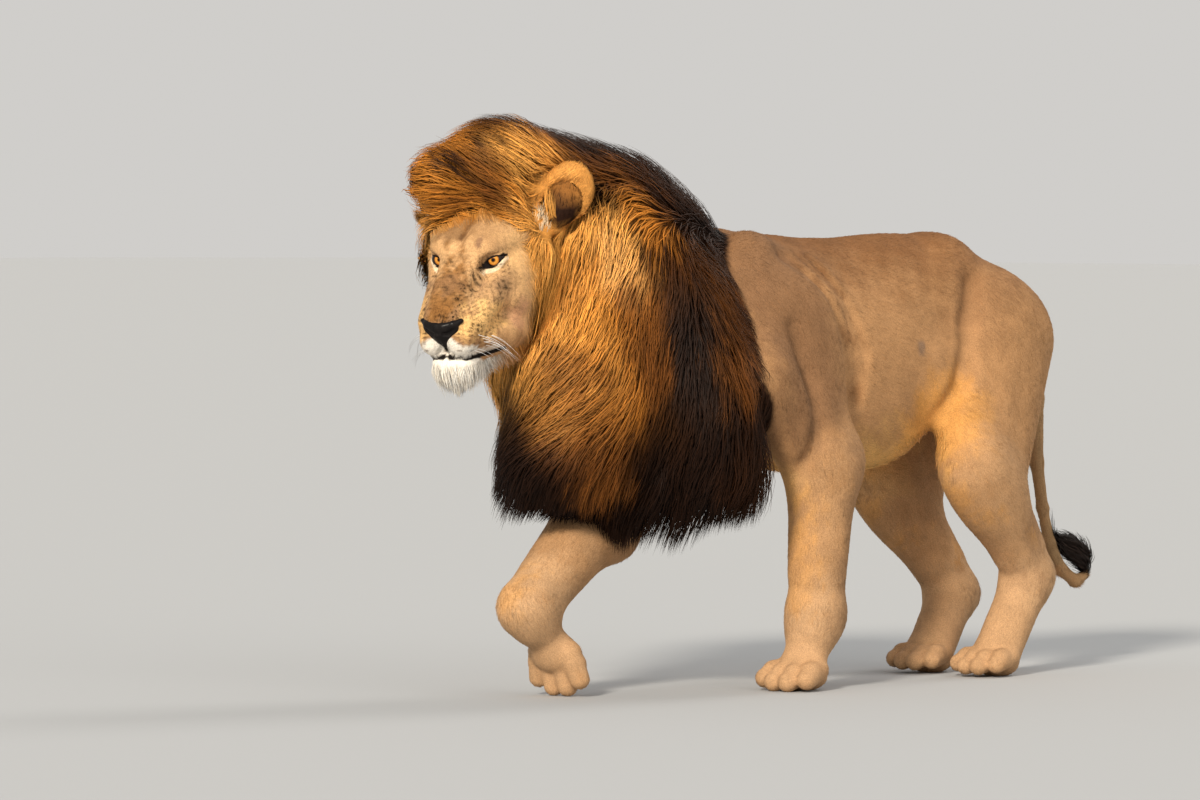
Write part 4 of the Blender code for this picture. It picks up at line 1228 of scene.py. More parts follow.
def growPaths(ground, places, normals, lengths, heights, rings, lie, hug, waver, seed, sink=0.003, free=0.0):
    # paths of long locks that follow the lie of the hair over the skin at their own heights
    here, up = places.copy(), normals.copy()
    path = [places - normals * sink]
    ups = [normals]
    for ring in range(1, rings):
        share = ring / (rings - 1)
        flow = lie(here) + drift(here, 7.0, seed) * waver + drift(here, 26.0, seed + 1) * waver * 0.6
        flow = unit(flow - up * (np.einsum("ij,ij->i", flow, up) * (1 - free * share))[:, None])
        flow = unit(flow + np.array((0, 0, -0.9)) * np.reshape(free * share, (-1, 1)))
        step = (lengths / (rings - 1))[:, None]
        here = here + unit(flow + up * 0.25 * (1 - share)) * step
        skinPoint, skinNormal = ground.nearest(here)
        height = np.einsum("ij,ij->i", here - skinPoint, skinNormal)
        goal = heights * ease(0.0, 0.55, np.full(len(here), share))
        move = np.where(height < goal, goal - height, (goal - height) * hug)
        here = here + skinNormal * move[:, None]
        up = unit(up * 0.5 + skinNormal * 0.5)
        path.append(here)
        ups.append(up)
    paths, ups = np.stack(path, axis=1), np.stack(ups, axis=1)
    for _ in range(2):
        paths[:, 1:-1] = paths[:, 1:-1] * 0.5 + (paths[:, :-2] + paths[:, 2:]) * 0.25
    return keepInside(paths), ups


def keepInside(paths):
    # locks are drawn in where they would leave the model's box
    low, high = (np.array(corner) - np.array(shift) for corner in cadBox)
    paths = paths - 0.85 * (np.minimum(paths - low, 0) + np.maximum(paths - high, 0))
    paths[..., 2] = np.maximum(paths[..., 2], low[2] + 0.0006)
    return paths


# materials
def grainGroup():
    # fine speckle that darkens and lightens a coat, with a height for its bump
    group = bpy.data.node_groups.new("coatGrain", "ShaderNodeTree")
    face = group.interface
    for label, value in (("Scale", 300.0), ("Contrast", 0.4)):
        face.new_socket(label, in_out="INPUT", socket_type="NodeSocketFloat").default_value = value
    face.new_socket("Shade", in_out="OUTPUT", socket_type="NodeSocketColor")
    face.new_socket("Height", in_out="OUTPUT", socket_type="NodeSocketFloat")
    nodes, links = group.nodes, group.links
    given, out = nodes.new("NodeGroupInput"), nodes.new("NodeGroupOutput")
    place = nodes.new("ShaderNodeTexCoord")
    fine, broad = nodes.new("ShaderNodeTexNoise"), nodes.new("ShaderNodeTexNoise")
    fine.inputs["Detail"].default_value, broad.inputs["Detail"].default_value = 4.0, 3.0
    broad.inputs["Scale"].default_value = 22.0
    links.new(place.outputs["Object"], fine.inputs["Vector"])
    links.new(place.outputs["Object"], broad.inputs["Vector"])
    links.new(given.outputs["Scale"], fine.inputs["Scale"])
    low, high = nodes.new("ShaderNodeMath"), nodes.new("ShaderNodeMath")
    low.operation, high.operation = "SUBTRACT", "ADD"
    low.inputs[0].default_value = high.inputs[0].default_value = 1.0
    links.new(given.outputs["Contrast"], low.inputs[1])
    links.new(given.outputs["Contrast"], high.inputs[1])
    mixed = nodes.new("ShaderNodeMath")
    mixed.operation = "MULTIPLY_ADD"
    mixed.inputs[1].default_value = 0.3
    links.new(broad.outputs["Fac"], mixed.inputs[0])
    part = nodes.new("ShaderNodeMath")
    part.operation = "MULTIPLY"
    part.inputs[1].default_value = 0.7
    links.new(fine.outputs["Fac"], part.inputs[0])
    links.new(part.outputs[0], mixed.inputs[2])
    spread = nodes.new("ShaderNodeMapRange")
    spread.inputs["From Min"].default_value, spread.inputs["From Max"].default_value = 0.32, 0.68
    links.new(mixed.outputs[0], spread.inputs["Value"])
    links.new(low.outputs[0], spread.inputs["To Min"])
    links.new(high.outputs[0], spread.inputs["To Max"])
    joinedShade = nodes.new("ShaderNodeCombineColor")
    for label in ("Red", "Green", "Blue"):
        links.new(spread.outputs["Result"], joinedShade.inputs[label])
    links.new(joinedShade.outputs["Color"], out.inputs["Shade"])
    links.new(fine.outputs["Fac"], out.inputs["Height"])
    return group


def coatMaterial(name, grain, scale, contrast, roughness, bump):
    material, nodes, links, shader = newMaterial(name, roughness=roughness, specular=0.08)
    tint = nodes.new("ShaderNodeAttribute")
    tint.attribute_name = "coatColour"
    speckle = nodes.new("ShaderNodeGroup")
    speckle.node_tree = grain
    speckle.inputs["Scale"].default_value, speckle.inputs["Contrast"].default_value = scale, contrast
    mix = nodes.new("ShaderNodeMix")
    mix.data_type, mix.blend_type = "RGBA", "MULTIPLY"
    mix.inputs["Factor"].default_value = 1.0
    links.new(tint.outputs["Color"], mix.inputs["A"])
    links.new(speckle.outputs["Shade"], mix.inputs["B"])
    links.new(mix.outputs["Result"], shader.inputs["Base Color"])
    lift = nodes.new("ShaderNodeBump")
    lift.inputs["Strength"].default_value = bump
    lift.inputs["Distance"].default_value = 0.002
    links.new(speckle.outputs["Height"], lift.inputs["Height"])
    links.new(lift.outputs["Normal"], shader.inputs["Normal"])
    return material


def setRamp(ramp, stops):
    # the first and the last stop are the ramp's own two
    elements = ramp.color_ramp.elements
    for element, (position, colour) in ((elements[0], stops[0]), (elements[1], stops[-1])):
        element.position, element.color = position, (*colour, 1)
    for position, colour in stops[1:-1]:
        elements.new(position).color = (*colour, 1)


def eyeMaterial():
    material, nodes, links, shader = newMaterial(
        "eyeball", roughness=0.25, specular=0.05, coat=0.28, coatRoughness=0.03,
    )
    angle = nodes.new("ShaderNodeAttribute")
    angle.attribute_name = "fromPupil"
    ramp = nodes.new("ShaderNodeValToRGB")
    stops = (
        (0.0, (0.004, 0.003, 0.002)), (0.15, (0.004, 0.003, 0.002)), (0.185, (0.3, 0.1, 0.012)),
        (0.3, (0.72, 0.33, 0.05)), (0.46, (0.6, 0.22, 0.028)), (0.545, (0.16, 0.055, 0.01)),
        (0.585, (0.012, 0.007, 0.005)), (0.66, (0.012, 0.007, 0.005)), (0.9, (0.016, 0.01, 0.008)),
    )
    setRamp(ramp, stops)
    links.new(angle.outputs["Fac"], ramp.inputs["Fac"])
    place, rays = nodes.new("ShaderNodeTexCoord"), nodes.new("ShaderNodeTexNoise")
    rays.inputs["Scale"].default_value, rays.inputs["Detail"].default_value = 420.0, 5.0
    links.new(place.outputs["Object"], rays.inputs["Vector"])
    vary = nodes.new("ShaderNodeMapRange")
    vary.inputs["To Min"].default_value, vary.inputs["To Max"].default_value = 0.55, 1.35
    links.new(rays.outputs["Fac"], vary.inputs["Value"])
    mix = nodes.new("ShaderNodeVectorMath")
    mix.operation = "SCALE"
    links.new(ramp.outputs["Color"], mix.inputs[0])
    links.new(vary.outputs["Result"], mix.inputs["Scale"])
    links.new(mix.outputs["Vector"], shader.inputs["Base Color"])
    return material


def noseMaterial():
    material, nodes, links, shader = newMaterial(
        "noseLeather", roughness=0.5, specular=0.08, coat=0.1, coatRoughness=0.22,
    )
    place = nodes.new("ShaderNodeTexCoord")
    cells, mottle = nodes.new("ShaderNodeTexVoronoi"), nodes.new("ShaderNodeTexNoise")
    cells.inputs["Scale"].default_value, mottle.inputs["Scale"].default_value = 520.0, 60.0
    links.new(place.outputs["Object"], cells.inputs["Vector"])
    links.new(place.outputs["Object"], mottle.inputs["Vector"])
    shades = nodes.new("ShaderNodeValToRGB")
    setRamp(shades, ((0.35, (0.005, 0.004, 0.004)), (0.85, (0.012, 0.009, 0.008))))
    links.new(mottle.outputs["Fac"], shades.inputs["Fac"])
    links.new(shades.outputs["Color"], shader.inputs["Base Color"])
    lift = nodes.new("ShaderNodeBump")
    lift.inputs["Strength"].default_value, lift.inputs["Distance"].default_value = 0.6, 0.0008
    links.new(cells.outputs["Distance"], lift.inputs["Height"])
    links.new(lift.outputs["Normal"], shader.inputs["Normal"])
    return material


# eyes, nose and whiskers
gaze = {"toSide": 10.0, "down": 2.0, "bulge": 0.05, "cornea": 0.6}
nosePad = {"voxel": 0.002}


def makeEye(word, side, material):
    shape = bmesh.new()
    heading = turn + math.radians(gaze["toSide"])
    look = Vector((math.sin(heading), -math.cos(heading), -math.sin(math.radians(gaze["down"])))).normalized()
    centre = headPlace @ Vector((side * eye["spread"], eye["back"], 0.0))
    bmesh.ops.create_uvsphere(shape, u_segments=64, v_segments=48, radius=eye["radius"])
    angles = []
    for vert in shape.verts:
        angle = vert.co.angle(Vector((0, 0, 1)))
        angles.append(angle)
        vert.co *= 1 + gaze["bulge"] * max(0.0, 1 - (angle / gaze["cornea"]) ** 2)
    bmesh.ops.transform(shape, matrix=look.to_track_quat("Z", "Y").to_matrix().to_4x4(), verts=shape.verts)
    bmesh.ops.translate(shape, vec=centre + shift, verts=shape.verts)
    piece = newPiece("eye" + word.capitalize(), shape)
    piece.data.shade_smooth()
    piece.data.attributes.new("fromPupil", "FLOAT", "POINT").data.foreach_set("value", angles)
    piece.data.materials.append(material)
    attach(piece, "root")
    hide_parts("eye_" + word)


def makeNose(material):
    pad = Flesh(0.007, headPlace)
    proud = 0.0055
    # each row is a place and a radius: its middle lies that deep in the head, less how proud the pad stands
    rows = ((0, -0.166, -0.112, 0.017), (0, -0.168, -0.12, 0.012), (0, -0.166, -0.141, 0.0055))
    middle, upper, lower = (onSurface(head, [row[:3]], row[3] - proud)[0] for row in rows)
    pad.ball(middle, (0.029, 0.016, 0.02))
    pad.limb(upper, lower, 0.018, 0.0065)
    for _, side in sides:
        rows = ((0.008, -0.166, -0.101, 0.013), (0.031, -0.162, -0.097, 0.011), (0.046, -0.152, -0.09, 0.006))
        inner, outer, wing = (onSurface(
            head, [(side * row[0], *row[1:3])], row[3] - proud,
        )[0] for row in rows)
        pad.limb(inner, outer, 0.013, 0.011)
        pad.limb(outer, wing, 0.01, 0.0054, blend=0.004)
        edge = ((side * 0.006, -0.168, -0.133), (side * 0.032, -0.161, -0.106))
        low, under = (onSurface(head, [spot], 0.004)[0] for spot in edge)
        pad.limb(low, under, 0.0062, 0.0088, blend=0.005)
        nostril = (
            (side * 0.013, -0.176, -0.114), (side * 0.022, -0.174, -0.116), (side * 0.033, -0.166, -0.106),
        )
        pad.groove(onSurface(pad, nostril), 0.005, 0.003)
    pad.groove(onSurface(pad, ((0, -0.177, -0.112), (0, -0.175, -0.128), (0, -0.169, -0.146))), 0.0018, 0.004)
    gathered = bmesh.new()
    pad.rough(gathered)
    piece = newPiece("nosePad", gathered)
    remesh = piece.modifiers.new("fuse", "REMESH")
    remesh.mode, remesh.voxel_size = "VOXEL", nosePad["voxel"]
    bake(piece)
    keepLargest(piece)
    settle(piece.data, pad.distance, 5, 0.002)
    relax(piece, 0.5, 2)
    piece.data.shade_smooth()
    piece.data.transform(Matrix.Translation(shift))
    piece.data.materials.append(material)
    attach(piece, "root")
    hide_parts("nose")


def dress(piece, material):
    piece.data.materials.append(material)
    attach(piece, "root")


def tones(rng, colour, count, low, high):
    # one shade for a whole lock, a little of it warmer or cooler
    shade = rng.uniform(low, high, (count, 1))
    warmth = 1 + rng.normal(0, 0.04, (count, 1)) * np.array((1.0, 0.3, -0.6))
    return colour * shade * warmth


# the short coat
shortCoat = {
    # where: tufts per square metre, length, half width, rise, darkest and lightest shade
    "coatBody": (21500, 0.0165, 0.001, 0.0012, 0.8, 1.18),
    "coatFace": (150000, 0.007, 0.00055, 0.0008, 0.84, 1.14),
    "coatEar": (130000, 0.011, 0.0007, 0.0028, 0.72, 1.22),
}


def shortTufts(name, ground, density, spec, material, seed, most=48000):
    _, length, half, rise, low, high = spec
    rng = np.random.default_rng(seed)
    places, normals, unwrap = ground.scatter(density, most * 6, rng)
    parts = int(math.ceil(len(places) / most))
    for part in range(parts):
        chosen = slice(part, None, parts)
        spot, normal, patch = places[chosen], normals[chosen], unwrap[chosen]
        count = len(spot)
        flow = shortLie(spot) + drift(spot, 30.0, seed) * 0.12 + rng.normal(0, 0.1, (count, 3))
        flow = unit(flow - normal * np.einsum("ij,ij->i", flow, normal)[:, None])
        paws = ease(0.03, 0.2, spot[:, 2])[:, None] * 0.5 + 0.5
        gap = featureGap(turned(spot, headPlace))
        paws = paws * (0.35 + 0.65 * ease(0.004, 0.03, gap))[:, None]
        reach = length * rng.uniform(0.7, 1.3, (count, 1)) * paws
        lift = rise * rng.uniform(0.5, 1.2, (count, 1)) * paws
        paths = keepInside(np.stack((spot - normal * 0.0006, spot + flow * reach + normal * lift), axis=1))
        widths = half * rng.uniform(0.75, 1.25, (count, 1))
        colour = tones(rng, shortColour(spot), count, low, high)
        rings = np.stack((colour * 0.94, colour * 1.06), axis=1)
        ups = np.repeat(normal[:, None], 2, axis=1)
        piece = tuftMesh(name + (chr(65 + part) if parts > 1 else ""), paths, widths, ups, rings, patch)
        dress(piece, material)


def earShare(points):
    return np.minimum(ears[1].distance(points), ears[-1].distance(points)) < 0.006


def faceShare(points):
    return inBlock(turned(points, headPlace), 0.14, 0.16, -0.24, 0.13)


def featureGap(local, eyes=True):
    # distance from the lips, and from the eyes if they count
    gap = np.minimum(lipGap(local), 1.0)
    for side in (1, -1) if eyes else ():
        gap = np.minimum(gap, np.linalg.norm(local - (side * eye["spread"], eye["back"], 0), axis=1) - 0.02)
    return gap


def bareShare(points):
    # 0 where the eyes and the nose pad are
    local = turned(points, headPlace)
    share = np.ones(len(points))
    for side in (1, -1):
        slit = lidSlit(points, side)
        front = np.linalg.norm(local - (side * eye["spread"], eye["back"], 0), axis=1) < 0.036
        share[front & (slit < 0.0028)] = 0.0
    share[featureGap(local, False) < 0.005] = 0.0
    share[inBlock(local, 0.036, -0.145, -0.118, -0.094)] = 0.0  # the nose pad
    return share


def makeShortCoat(ground, material):
    middles = ground.middles
    covered, onFace, onEar = maneShare(middles), faceShare(middles), earShare(middles)
    tufted = tuft.distance(middles) < 0.004
    bare = (1 - covered) * ~tufted
    thin = 1.0
    height = middles[:, 2]
    where = bare * ~onFace * ~onEar * (1 + 0.8 * (height < 0.25)) * (height > 0.006)  # closer on the feet
    density = shortCoat["coatBody"][0] * where
    shortTufts("coatBody", ground, density * thin, shortCoat["coatBody"], material, 11)
    density = shortCoat["coatFace"][0] * bare * onFace * ~onEar * bareShare(middles)
    shortTufts("coatFace", ground, density * thin, shortCoat["coatFace"], material, 12)
    shortTufts(
        "coatEars", ground, shortCoat["coatEar"][0] * onEar * thin, shortCoat["coatEar"], material, 13,
    )


# the long coat
longCoat = {
    # locks, rings, half width, wander of the locks, how much they keep to the form
    "mane": (27000, 6, 0.00135, 0.24, 0.35),
    # locks, rings, half width, shortest and longest, rise
    "beard": (2100, 5, 0.0009, 0.026, 0.058, 0.009),
    "ruff": (5600, 4, 0.001, 0.012, 0.06, 0.007),
    "earHair": (300, 4, 0.0008, 0.012, 0.03, 0.006),
    "earFloor": (900, 4, 0.0008, 0.012, 0.03, 0.004),
    "jawHair": (1500, 5, 0.001, 0.022, 0.065, 0.006),
    "earBase": (2400, 5, 0.0012, 0.03, 0.062, 0.012),
    "earRim": (1500, 3, 0.0008, 0.01, 0.018, 0.003),
    "tailTuft": (1000, 5, 0.0015, 0.035, 0.08, 0.012),
    "fringe": (3200, 4, 0.001, 0.014, 0.032, 0.005),
    "whiskers": (11, 7, 0.00065, 0.05, 0.095, 0.0),
}


def makeLocks(word, ground, material, share, lie, colour, seed, size=None, shades=(0.8, 1.2), free=0.0):
    # locks rooted where share is above zero; size scales each one's length by its place, free lets them hang
    count, rings, half, short, long, rise = longCoat[word]
    rng = np.random.default_rng(seed)
    areas = ground.areas * np.maximum(share(ground.middles), 0)
    wanted = count // 1
    density = np.maximum(share(ground.middles), 0) * wanted / max(areas.sum(), 1e-9)
    places, normals, unwrap = ground.scatter(density, wanted, rng)
    reach = np.clip(size(places), 0, 1) if size else rng.random(len(places))
    lengths = (short + (long - short) * reach) * rng.uniform(0.75, 1.2, len(places))
    heights = rise * (0.3 + 0.7 * reach) * rng.uniform(0.3, 1.2, len(places))
    flows = np.full(len(places), free)
    paths, ups = growPaths(
        ground, places, normals, lengths, heights, rings, lie, 0.35 * (1 - free), 0.18, seed + 1,
        sink=0.002, free=flows,
    )
    spread = rng.normal(0, 1, (len(places), 1, 3)) * 0.06 * lengths[:, None, None]
    paths = keepInside(paths + spread * np.linspace(0, 1, rings)[None, :, None])
    widths = np.linspace(1.0, 0.55, rings - 1) * half * rng.uniform(0.7, 1.3, (len(places), 1))
    ramp = np.linspace(0, 1, rings)[None, :, None]
    rows = tones(rng, colour(places), len(places), *shades)[:, None, :] * (0.75 + 0.5 * ramp)
    piece = tuftMesh(word, paths, widths, ups, rows, unwrap)
    dress(piece, material)


def trimmed(paths, limits):
    # locks end where they would pass the outline of the mane by more than their limit
    count, rings = paths.shape[:2]
    over = np.stack([maneOutline.distance(paths[:, ring]) for ring in range(rings)], axis=1) - limits[:, None]
    over[:, 0] = -1.0
    stop = np.full(count, rings - 1.0)
    for ring in range(rings - 1, 0, -1):
        passed = over[:, ring] > 0
        share = np.clip(-over[:, ring - 1] / np.maximum(over[:, ring] - over[:, ring - 1], 1e-9), 0, 1)
        stop = np.where(passed, ring - 1 + share, stop)
    stop = np.maximum(stop, 1.5)
    at = stop[:, None] * np.linspace(0, 1, rings)[None]
    below = np.minimum(at.astype(int), rings - 2)
    part = (at - below)[:, :, None]
    lock = np.arange(count)[:, None]
    return paths[lock, below] * (1 - part) + paths[lock, below + 1] * part


locks = {
    # length at the edge and for each metre below the outline, locks to a clump and how far it closes
    "atEdge": 0.045, "byDepth": 3.1, "perClump": 14, "gather": 0.55,
    "stray": 0.005, "waves": 75, "waveSize": 0.0045, "perPiece": 6500,
}


def makeLongCoat(ground, material):
    count, rings, half, waver, hug = longCoat["mane"]
    count = count // 1
    rng = np.random.default_rng(21)
    middles = ground.middles
    density = maneShare(middles) * (tuft.distance(middles) > 0.02) * ~earShare(middles)
    for _, side in sides:
        density *= 1 + 2.5 * aroundHead(middles, (side * 0.125, 0.165, 0.01), (0.05, 0.07, 0.06))
    places, normals, unwrap = ground.scatter(density * 1e7, count, rng)
    under = np.clip(-maneOutline.distance(places), 0.0, 0.06)
    layer = rng.uniform(0.15, 1.0, len(places))
    lengths = (locks["atEdge"] + under * locks["byDepth"]) * rng.uniform(0.75, 1.25, len(places))
    low = ease(0.62, 0.46, places[:, 2])
    lengths *= 1 - 0.25 * low
    heights = 0.003 + under * (0.15 + 0.85 * layer)
    # locks gather into clumps that share their wander
    knots = places[rng.choice(len(places), len(places) // locks["perClump"], replace=False)]
    tree = kdtree.KDTree(len(knots))
    for index, point in enumerate(knots):
        tree.insert(point, index)
    tree.balance()
    member = np.fromiter((tree.find(point)[1] for point in places), int, len(places))
    paths, ups = growPaths(
        ground, places, normals, lengths, heights, rings, longLie, hug * (1 - low), waver, 22, free=low,
    )
    middle = np.zeros((len(knots), rings, 3))
    counts = np.bincount(member, minlength=len(knots))[:, None, None]
    np.add.at(middle, member, paths)
    middle /= np.maximum(counts, 1)
    gather = (np.linspace(0, 1, rings) ** 1.5 * locks["gather"])[None, :, None]
    pull = gather * rng.uniform(0.3, 1.0, (len(places), 1, 1))
    paths = paths * (1 - pull) + middle[member] * pull
    out = np.linspace(0, 1, rings)[None, 1:, None]
    paths[:, 1:] += rng.normal(0, 1, (len(places), 1, 3)) * locks["stray"] * out
    phase, share = rng.uniform(0, 6.28, (len(places), 1)), np.linspace(0, 1, rings)[None]
    swing = np.sin(phase + share * lengths[:, None] * locks["waves"]) * share ** 0.7 * locks["waveSize"]
    paths += np.cross(unit(np.gradient(paths, axis=1)), ups) * swing[:, :, None]
    paths = keepInside(trimmed(paths, rng.uniform(0.0, 0.022, len(places))))
    profile = np.array((0.8, 1.0, 0.95, 0.8, 0.5))
    widths = profile * half * rng.uniform(0.6, 1.35, (len(places), 1))
    colour = np.stack([longColour(paths[:, ring]) for ring in range(rings)], axis=1)
    colour *= tones(rng, np.ones((len(places), 3)), len(places), 0.76, 1.24)[:, None]
    colour *= rng.uniform(0.7, 1.28, (len(knots), 1))[member][:, None]
    local = turned(places, headPlace)
    fore = ease(-0.02, 0.1, local[:, 2] - 0.05) * ease(0.16, 0.06, local[:, 1])
    tipShade = 1.25 - 0.85 * fore * rng.random(len(places))
    # painted shade: each lock is half as bright at its root, deep in the mane, and reaches full brightness a
    # third of its way out; tips are lighter, but locks of the forelock get darker tips at random
    ramp = np.linspace(0, 1, rings)[None, :, None]
    shade = (0.5 + 0.5 * ease(0.0, 0.35, ramp)) * (1 + (tipShade[:, None, None] - 1) * ramp)
    rows = colour * shade
    parts = int(math.ceil(len(places) / locks["perPiece"]))
    order = np.argsort(places[:, 2])  # pieces from the chest up to the crown
    names = ("maneChest", "maneBreast", "maneNeck", "maneRuff", "maneCrown")
    for part, chosen in enumerate(np.array_split(order, parts)):
        piece = tuftMesh(
            names[part], paths[chosen], widths[chosen], ups[chosen], rows[chosen], unwrap[chosen],
        )
        dress(piece, material)


def headLie(vector):
    aimed = np.array(headPlace.to_3x3() @ Vector(vector).normalized())
    return lambda points: np.tile(aimed, (len(points), 1))


def aroundHead(points, centre, radii):
    # 1 inside that ball of the head, 0 outside it
    return 1.0 * (np.linalg.norm((turned(points, headPlace) - centre) / radii, axis=1) < 1)


def border(points):
    # rises from 0 on the open face to 1 at the edge of the mane
    return ease(0.034, 0.0, maneOutline.distance(points))


def ruffShare(points):
    local = turned(points, headPlace)
    near = aroundHead(points, (0, 0.06, -0.03), (0.17, 0.24, 0.24))
    clear = featureGap(local) > 0.012
    bare = (local[:, 1] > -0.05) * (maneShare(points) < 0.9)
    return border(points) * near * clear * ~earShare(points) * bare


def ruffLie(points):
    local = turned(points, headPlace)
    low = ease(0.06, -0.02, local[:, 2])[:, None]
    side = np.sign(local[:, :1])
    fall, rise = eachSide(side, 0.1, 0.75, -0.85), eachSide(side, 0.35, 0.3, 0.9)
    return unit(fromHead(unit(fall * low + rise * (1 - low))) + longLie(points) * 0.6)


def ruffColour(points):
    share = (border(points) * 0.9)[:, None]
    return shortColour(points) * (1 - share) + longColour(points) * share


def beardShare(points):
    local = turned(points, headPlace)
    chin = aroundHead(points, (0, -0.108, -0.206), (0.056, 0.078, 0.046))
    return chin * (featureGap(local, False) > 0.006) * (local[:, 2] < lipHeight(local))


def lipHeight(local):
    # how high the line of the mouth is at that distance from the middle of the face
    line = lipLine[1]
    return np.interp(-local[:, 1], -line[::-1, 1], line[::-1, 2]) - 0.004


def earPatch(points, centre, radii, kept):
    share = np.zeros(len(points))
    for _, side in sides:
        share += aroundHead(points, (side * centre[0], *centre[1:]), radii) * kept(side)
    return share


def earFront(points):
    return earPatch(
        points, (0.116, 0.165, 0.04), (0.022, 0.03, 0.032), lambda side: ears[side].distance(points) < 0.008,
    )


def earFloorShare(points):
    return earPatch(
        points, (0.15, 0.176, 0.095), (0.046, 0.036, 0.045), lambda side: ears[side].distance(points) < 0.004,
    )


def jawShare(points):
    local = turned(points, headPlace)
    jaws = [limbShape((side * 0.04, -0.07, -0.212), (side * 0.072, 0.05, -0.2), 0.022) for _, side in sides]
    gap = np.minimum(*(shapeDistance(jaw, local) for jaw in jaws))
    return ease(0.014, 0.0, gap) * (local[:, 2] < lipHeight(local) - 0.004) * (maneShare(points) < 0.9)


def jawColour(points):
    local = turned(points, headPlace)
    rear = ease(-0.08, 0.02, local[:, 1])[:, None]
    return np.array(colours["white"]) * 0.85 * (1 - rear) + np.array(colours["maneTan"]) * rear


def earBaseShare(points):
    share = earPatch(
        points, (0.118, 0.165, 0.02), (0.042, 0.062, 0.05),
        lambda side: dishes[side].distance(points) > 0.006,
    )
    return share * (maneShare(points) < 0.95)


def fromHead(directions):
    return directions @ np.array(headPlace.to_3x3()).T


def eachSide(side, left, back, up):
    # one direction or spot of the head, mirrored with the side
    return np.concatenate((side * left, np.full_like(side, back), np.full_like(side, up)), axis=1)


def earHairLie(points):
    side = np.sign(turned(points, headPlace)[:, :1])
    return fromHead(unit(eachSide(side, 0.75, -0.1, 0.75)))


def earRimShare(points):
    local = turned(points, headPlace)
    share = np.zeros(len(points))
    for _, side in sides:
        edge = dishes[side].distance(points)
        share += (np.abs(edge - 0.004) < 0.004) * (ears[side].distance(points) < 0.004) * (local[:, 2] > 0.05)
    return share


def earRimLie(points):
    local = turned(points, headPlace)
    side = np.sign(local[:, :1])
    away = local - eachSide(side, 0.15, 0.2, 0.07)
    away[:, 1] = -0.004
    return fromHead(unit(away))


def tailTuftLie(points):
    line = np.array([spot for spot, _ in tuftBones])
    return blendGuides(points, (line[:-1] + line[1:]) / 2, unit(line[1:] - line[:-1]), 0.02)


def fringeShare(points):
    # the backs of the forelegs, the belly and the backs of the thighs
    shapes = [limbShape((0, -0.02, 0.49), (0, 0.42, 0.5), 0.05)]
    behind = Vector((0, 0.06, 0))
    for _, side in sides:
        fore, hind = (jointsOf(name) for name in limbNames[side])
        shapes += [
            limbShape(fore[1] + behind, fore[2] + behind * 0.7, 0.022),
            limbShape(hind[0] + Vector((0, 0.15, -0.05)), hind[1] + Vector((0, 0.12, 0)), 0.03),
            limbShape((side * 0.1, 0.38, 0.52), (side * 0.14, 0.5, 0.55), 0.03),
        ]
    gap = np.minimum.reduce([shapeDistance(shape, points) for shape in shapes])
    return ease(0.012, 0.0, gap) * (1 - maneShare(points)) * (points[:, 2] > 0.3)


def fringeLie(points):
    return unit(shortLie(points) + np.array((0, 0.25, -0.45)))


def makeWhiskers(material):
    count, rings, half, short, long, _ = longCoat["whiskers"]
    rng = np.random.default_rng(61)
    paths = []
    for _, side in sides:
        rows, places = rng.integers(0, 4, count), rng.uniform(1.0, 4.2, count)
        dots = np.column_stack((
            side * (0.036 + 0.01 * places), -0.155 + 0.02 * places, -0.122 - 0.01 * rows - 0.003 * places,
        ))
        here = onSurface(head, dots, 0.002)
        flow = np.column_stack((
            side * rng.uniform(0.7, 1.1, count), rng.uniform(0.1, 0.8, count),
            rng.uniform(-0.45, -0.1, count),
        ))
        reach = rng.uniform(short, long, count)[:, None] / (rings - 1)
        steps = [here]
        for _ in range(1, rings):
            flow = unit(unit(flow) + np.array((side * -0.02, 0.05, -0.16)))
            here = here + flow * reach
            steps.append(here)
        paths.append(np.stack(steps, axis=1))
    paths = np.concatenate(paths)
    paths = fromHead(paths) + np.array(headPlace.translation)
    widths = np.tile(np.linspace(1.0, 0.35, rings - 1) * half, (len(paths), 1))
    ups = np.tile(np.array((0.0, 0.0, 1.0)), (len(paths), rings, 1))
    rows = np.full((len(paths), rings, 3), 0.86)
    patch = np.column_stack((np.linspace(0.02, 0.98, len(paths)), np.full(len(paths), 0.003)))
    piece = tuftMesh("whiskers", paths, widths, ups, rows, patch, 0.9)
    dress(piece, material)


def plain(name):
    return lambda points: np.tile(np.array(colours[name]), (len(points), 1))


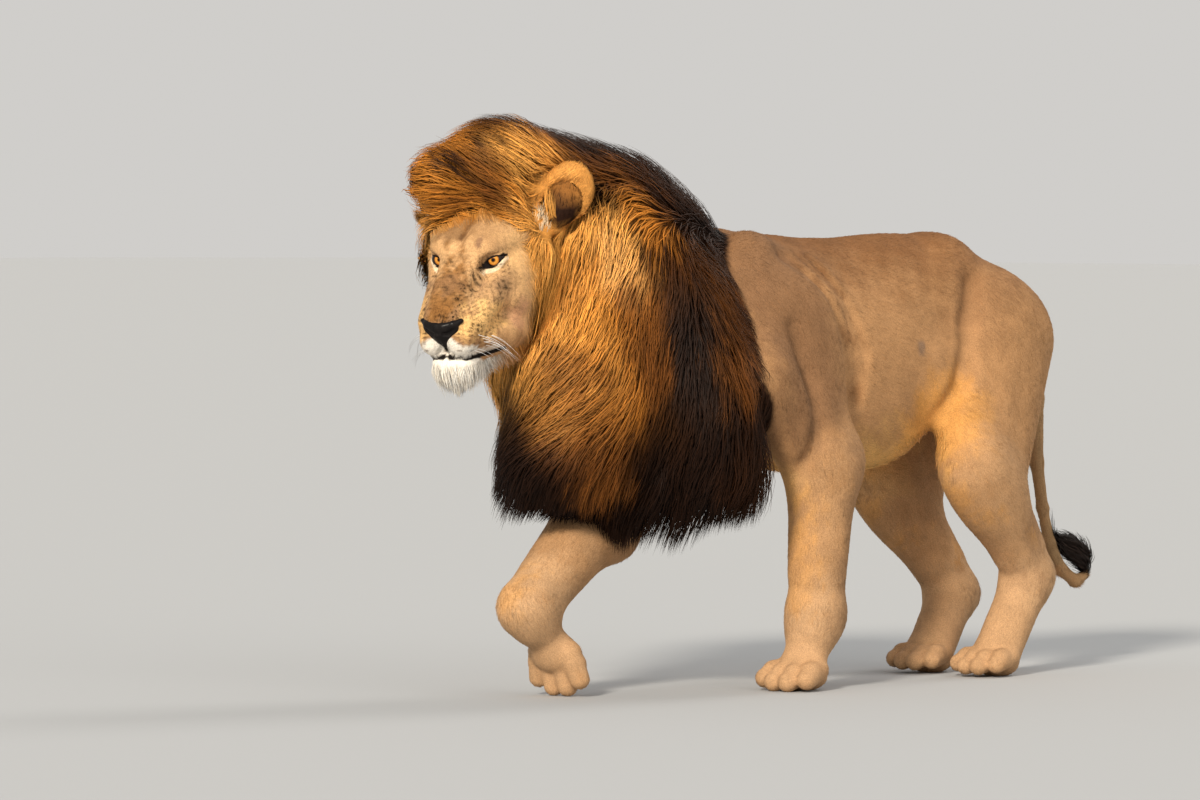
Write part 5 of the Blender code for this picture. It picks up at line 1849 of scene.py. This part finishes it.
def makeHeadHair(ground, material, pale):
    makeLocks(
        "beard", ground, pale, beardShare, headLie((0, 0.1, -1)), plain("white"), 31,
        size=beardSize, shades=(0.75, 1.12), free=0.6,
    )
    makeLocks("ruff", ground, material, ruffShare, ruffLie, ruffColour, 33, size=border)
    makeLocks(
        "earHair", ground, pale, earFront, earHairLie, plain("underEye"), 35, shades=(0.45, 1.1),
    )
    makeLocks(
        "earFloor", ground, material, earFloorShare, earHairLie, shortColour, 36, shades=(0.7, 1.7),
    )
    makeLocks(
        "earBase", ground, material, earBaseShare, longLie, longColour, 38, shades=(0.8, 1.25),
    )
    makeLocks(
        "jawHair", ground, pale, jawShare, headLie((0, 0.45, -1)), jawColour, 39,
        shades=(0.7, 1.2), free=0.5,
    )
    makeLocks(
        "earRim", ground, material, earRimShare, earRimLie, plain("earBack"), 37, shades=(0.9, 1.35),
    )
    makeWhiskers(pale)


def beardSize(points):
    local = turned(points, headPlace)
    return ease(-0.17, -0.206, local[:, 2]) * (0.78 + 0.22 * np.sin(local[:, 0] * 170))


def tuftShare(points):
    return 1.0 * (tuft.distance(points) < 0.003)


# put together
print("stage")
setStage()
grain = grainGroup()
print("skin")
skin = makeSkin()
mesh = skin.data
mesh.uv_layers.new(name="OFBake")
bpy.context.view_layer.objects.active = skin
skin.select_set(True)
bpy.ops.object.mode_set(mode="EDIT")
bpy.ops.mesh.select_all(action="SELECT")
bpy.ops.uv.smart_project(angle_limit=math.radians(66), island_margin=0.002)
bpy.ops.object.mode_set(mode="OBJECT")
mesh.shade_smooth()
print("ground")
ground = Ground(mesh)
tint = mesh.attributes.new("coatColour", "FLOAT_COLOR", "POINT")
rows = np.ones((len(ground.points), 4))
rows[:, :3] = skinColour(ground.points)
tint.data.foreach_set("color", rows.ravel())
skin.data.transform(Matrix.Translation(shift))
dress(skin, coatMaterial("skinCoat", grain, 420.0, 0.3, 0.75, 0.35))
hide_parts(*[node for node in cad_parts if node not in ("eye_left", "eye_right", "nose")])
print("eyes and nose")
eyeball = eyeMaterial()
for word, side in sides:
    makeEye(word, side, eyeball)
makeNose(noseMaterial())
print("short coat")
makeShortCoat(ground, coatMaterial("shortFur", grain, 500.0, 0.22, 0.62, 0.1))
print("mane")
maneHair = coatMaterial("maneHair", grain, 260.0, 0.22, 0.5, 0.05)
makeLongCoat(ground, maneHair)
print("beard, ruff, ears and whiskers")
makeHeadHair(ground, maneHair, coatMaterial("paleHair", grain, 260.0, 0.15, 0.5, 0.05))
print("tail tuft and fringes")
makeLocks(
    "tailTuft", ground, maneHair, tuftShare, tailTuftLie, plain("tuftBlack"), 41, shades=(0.7, 1.8),
)
makeLocks("fringe", ground, maneHair, fringeShare, fringeLie, shortColour, 43, shades=(0.85, 1.25))
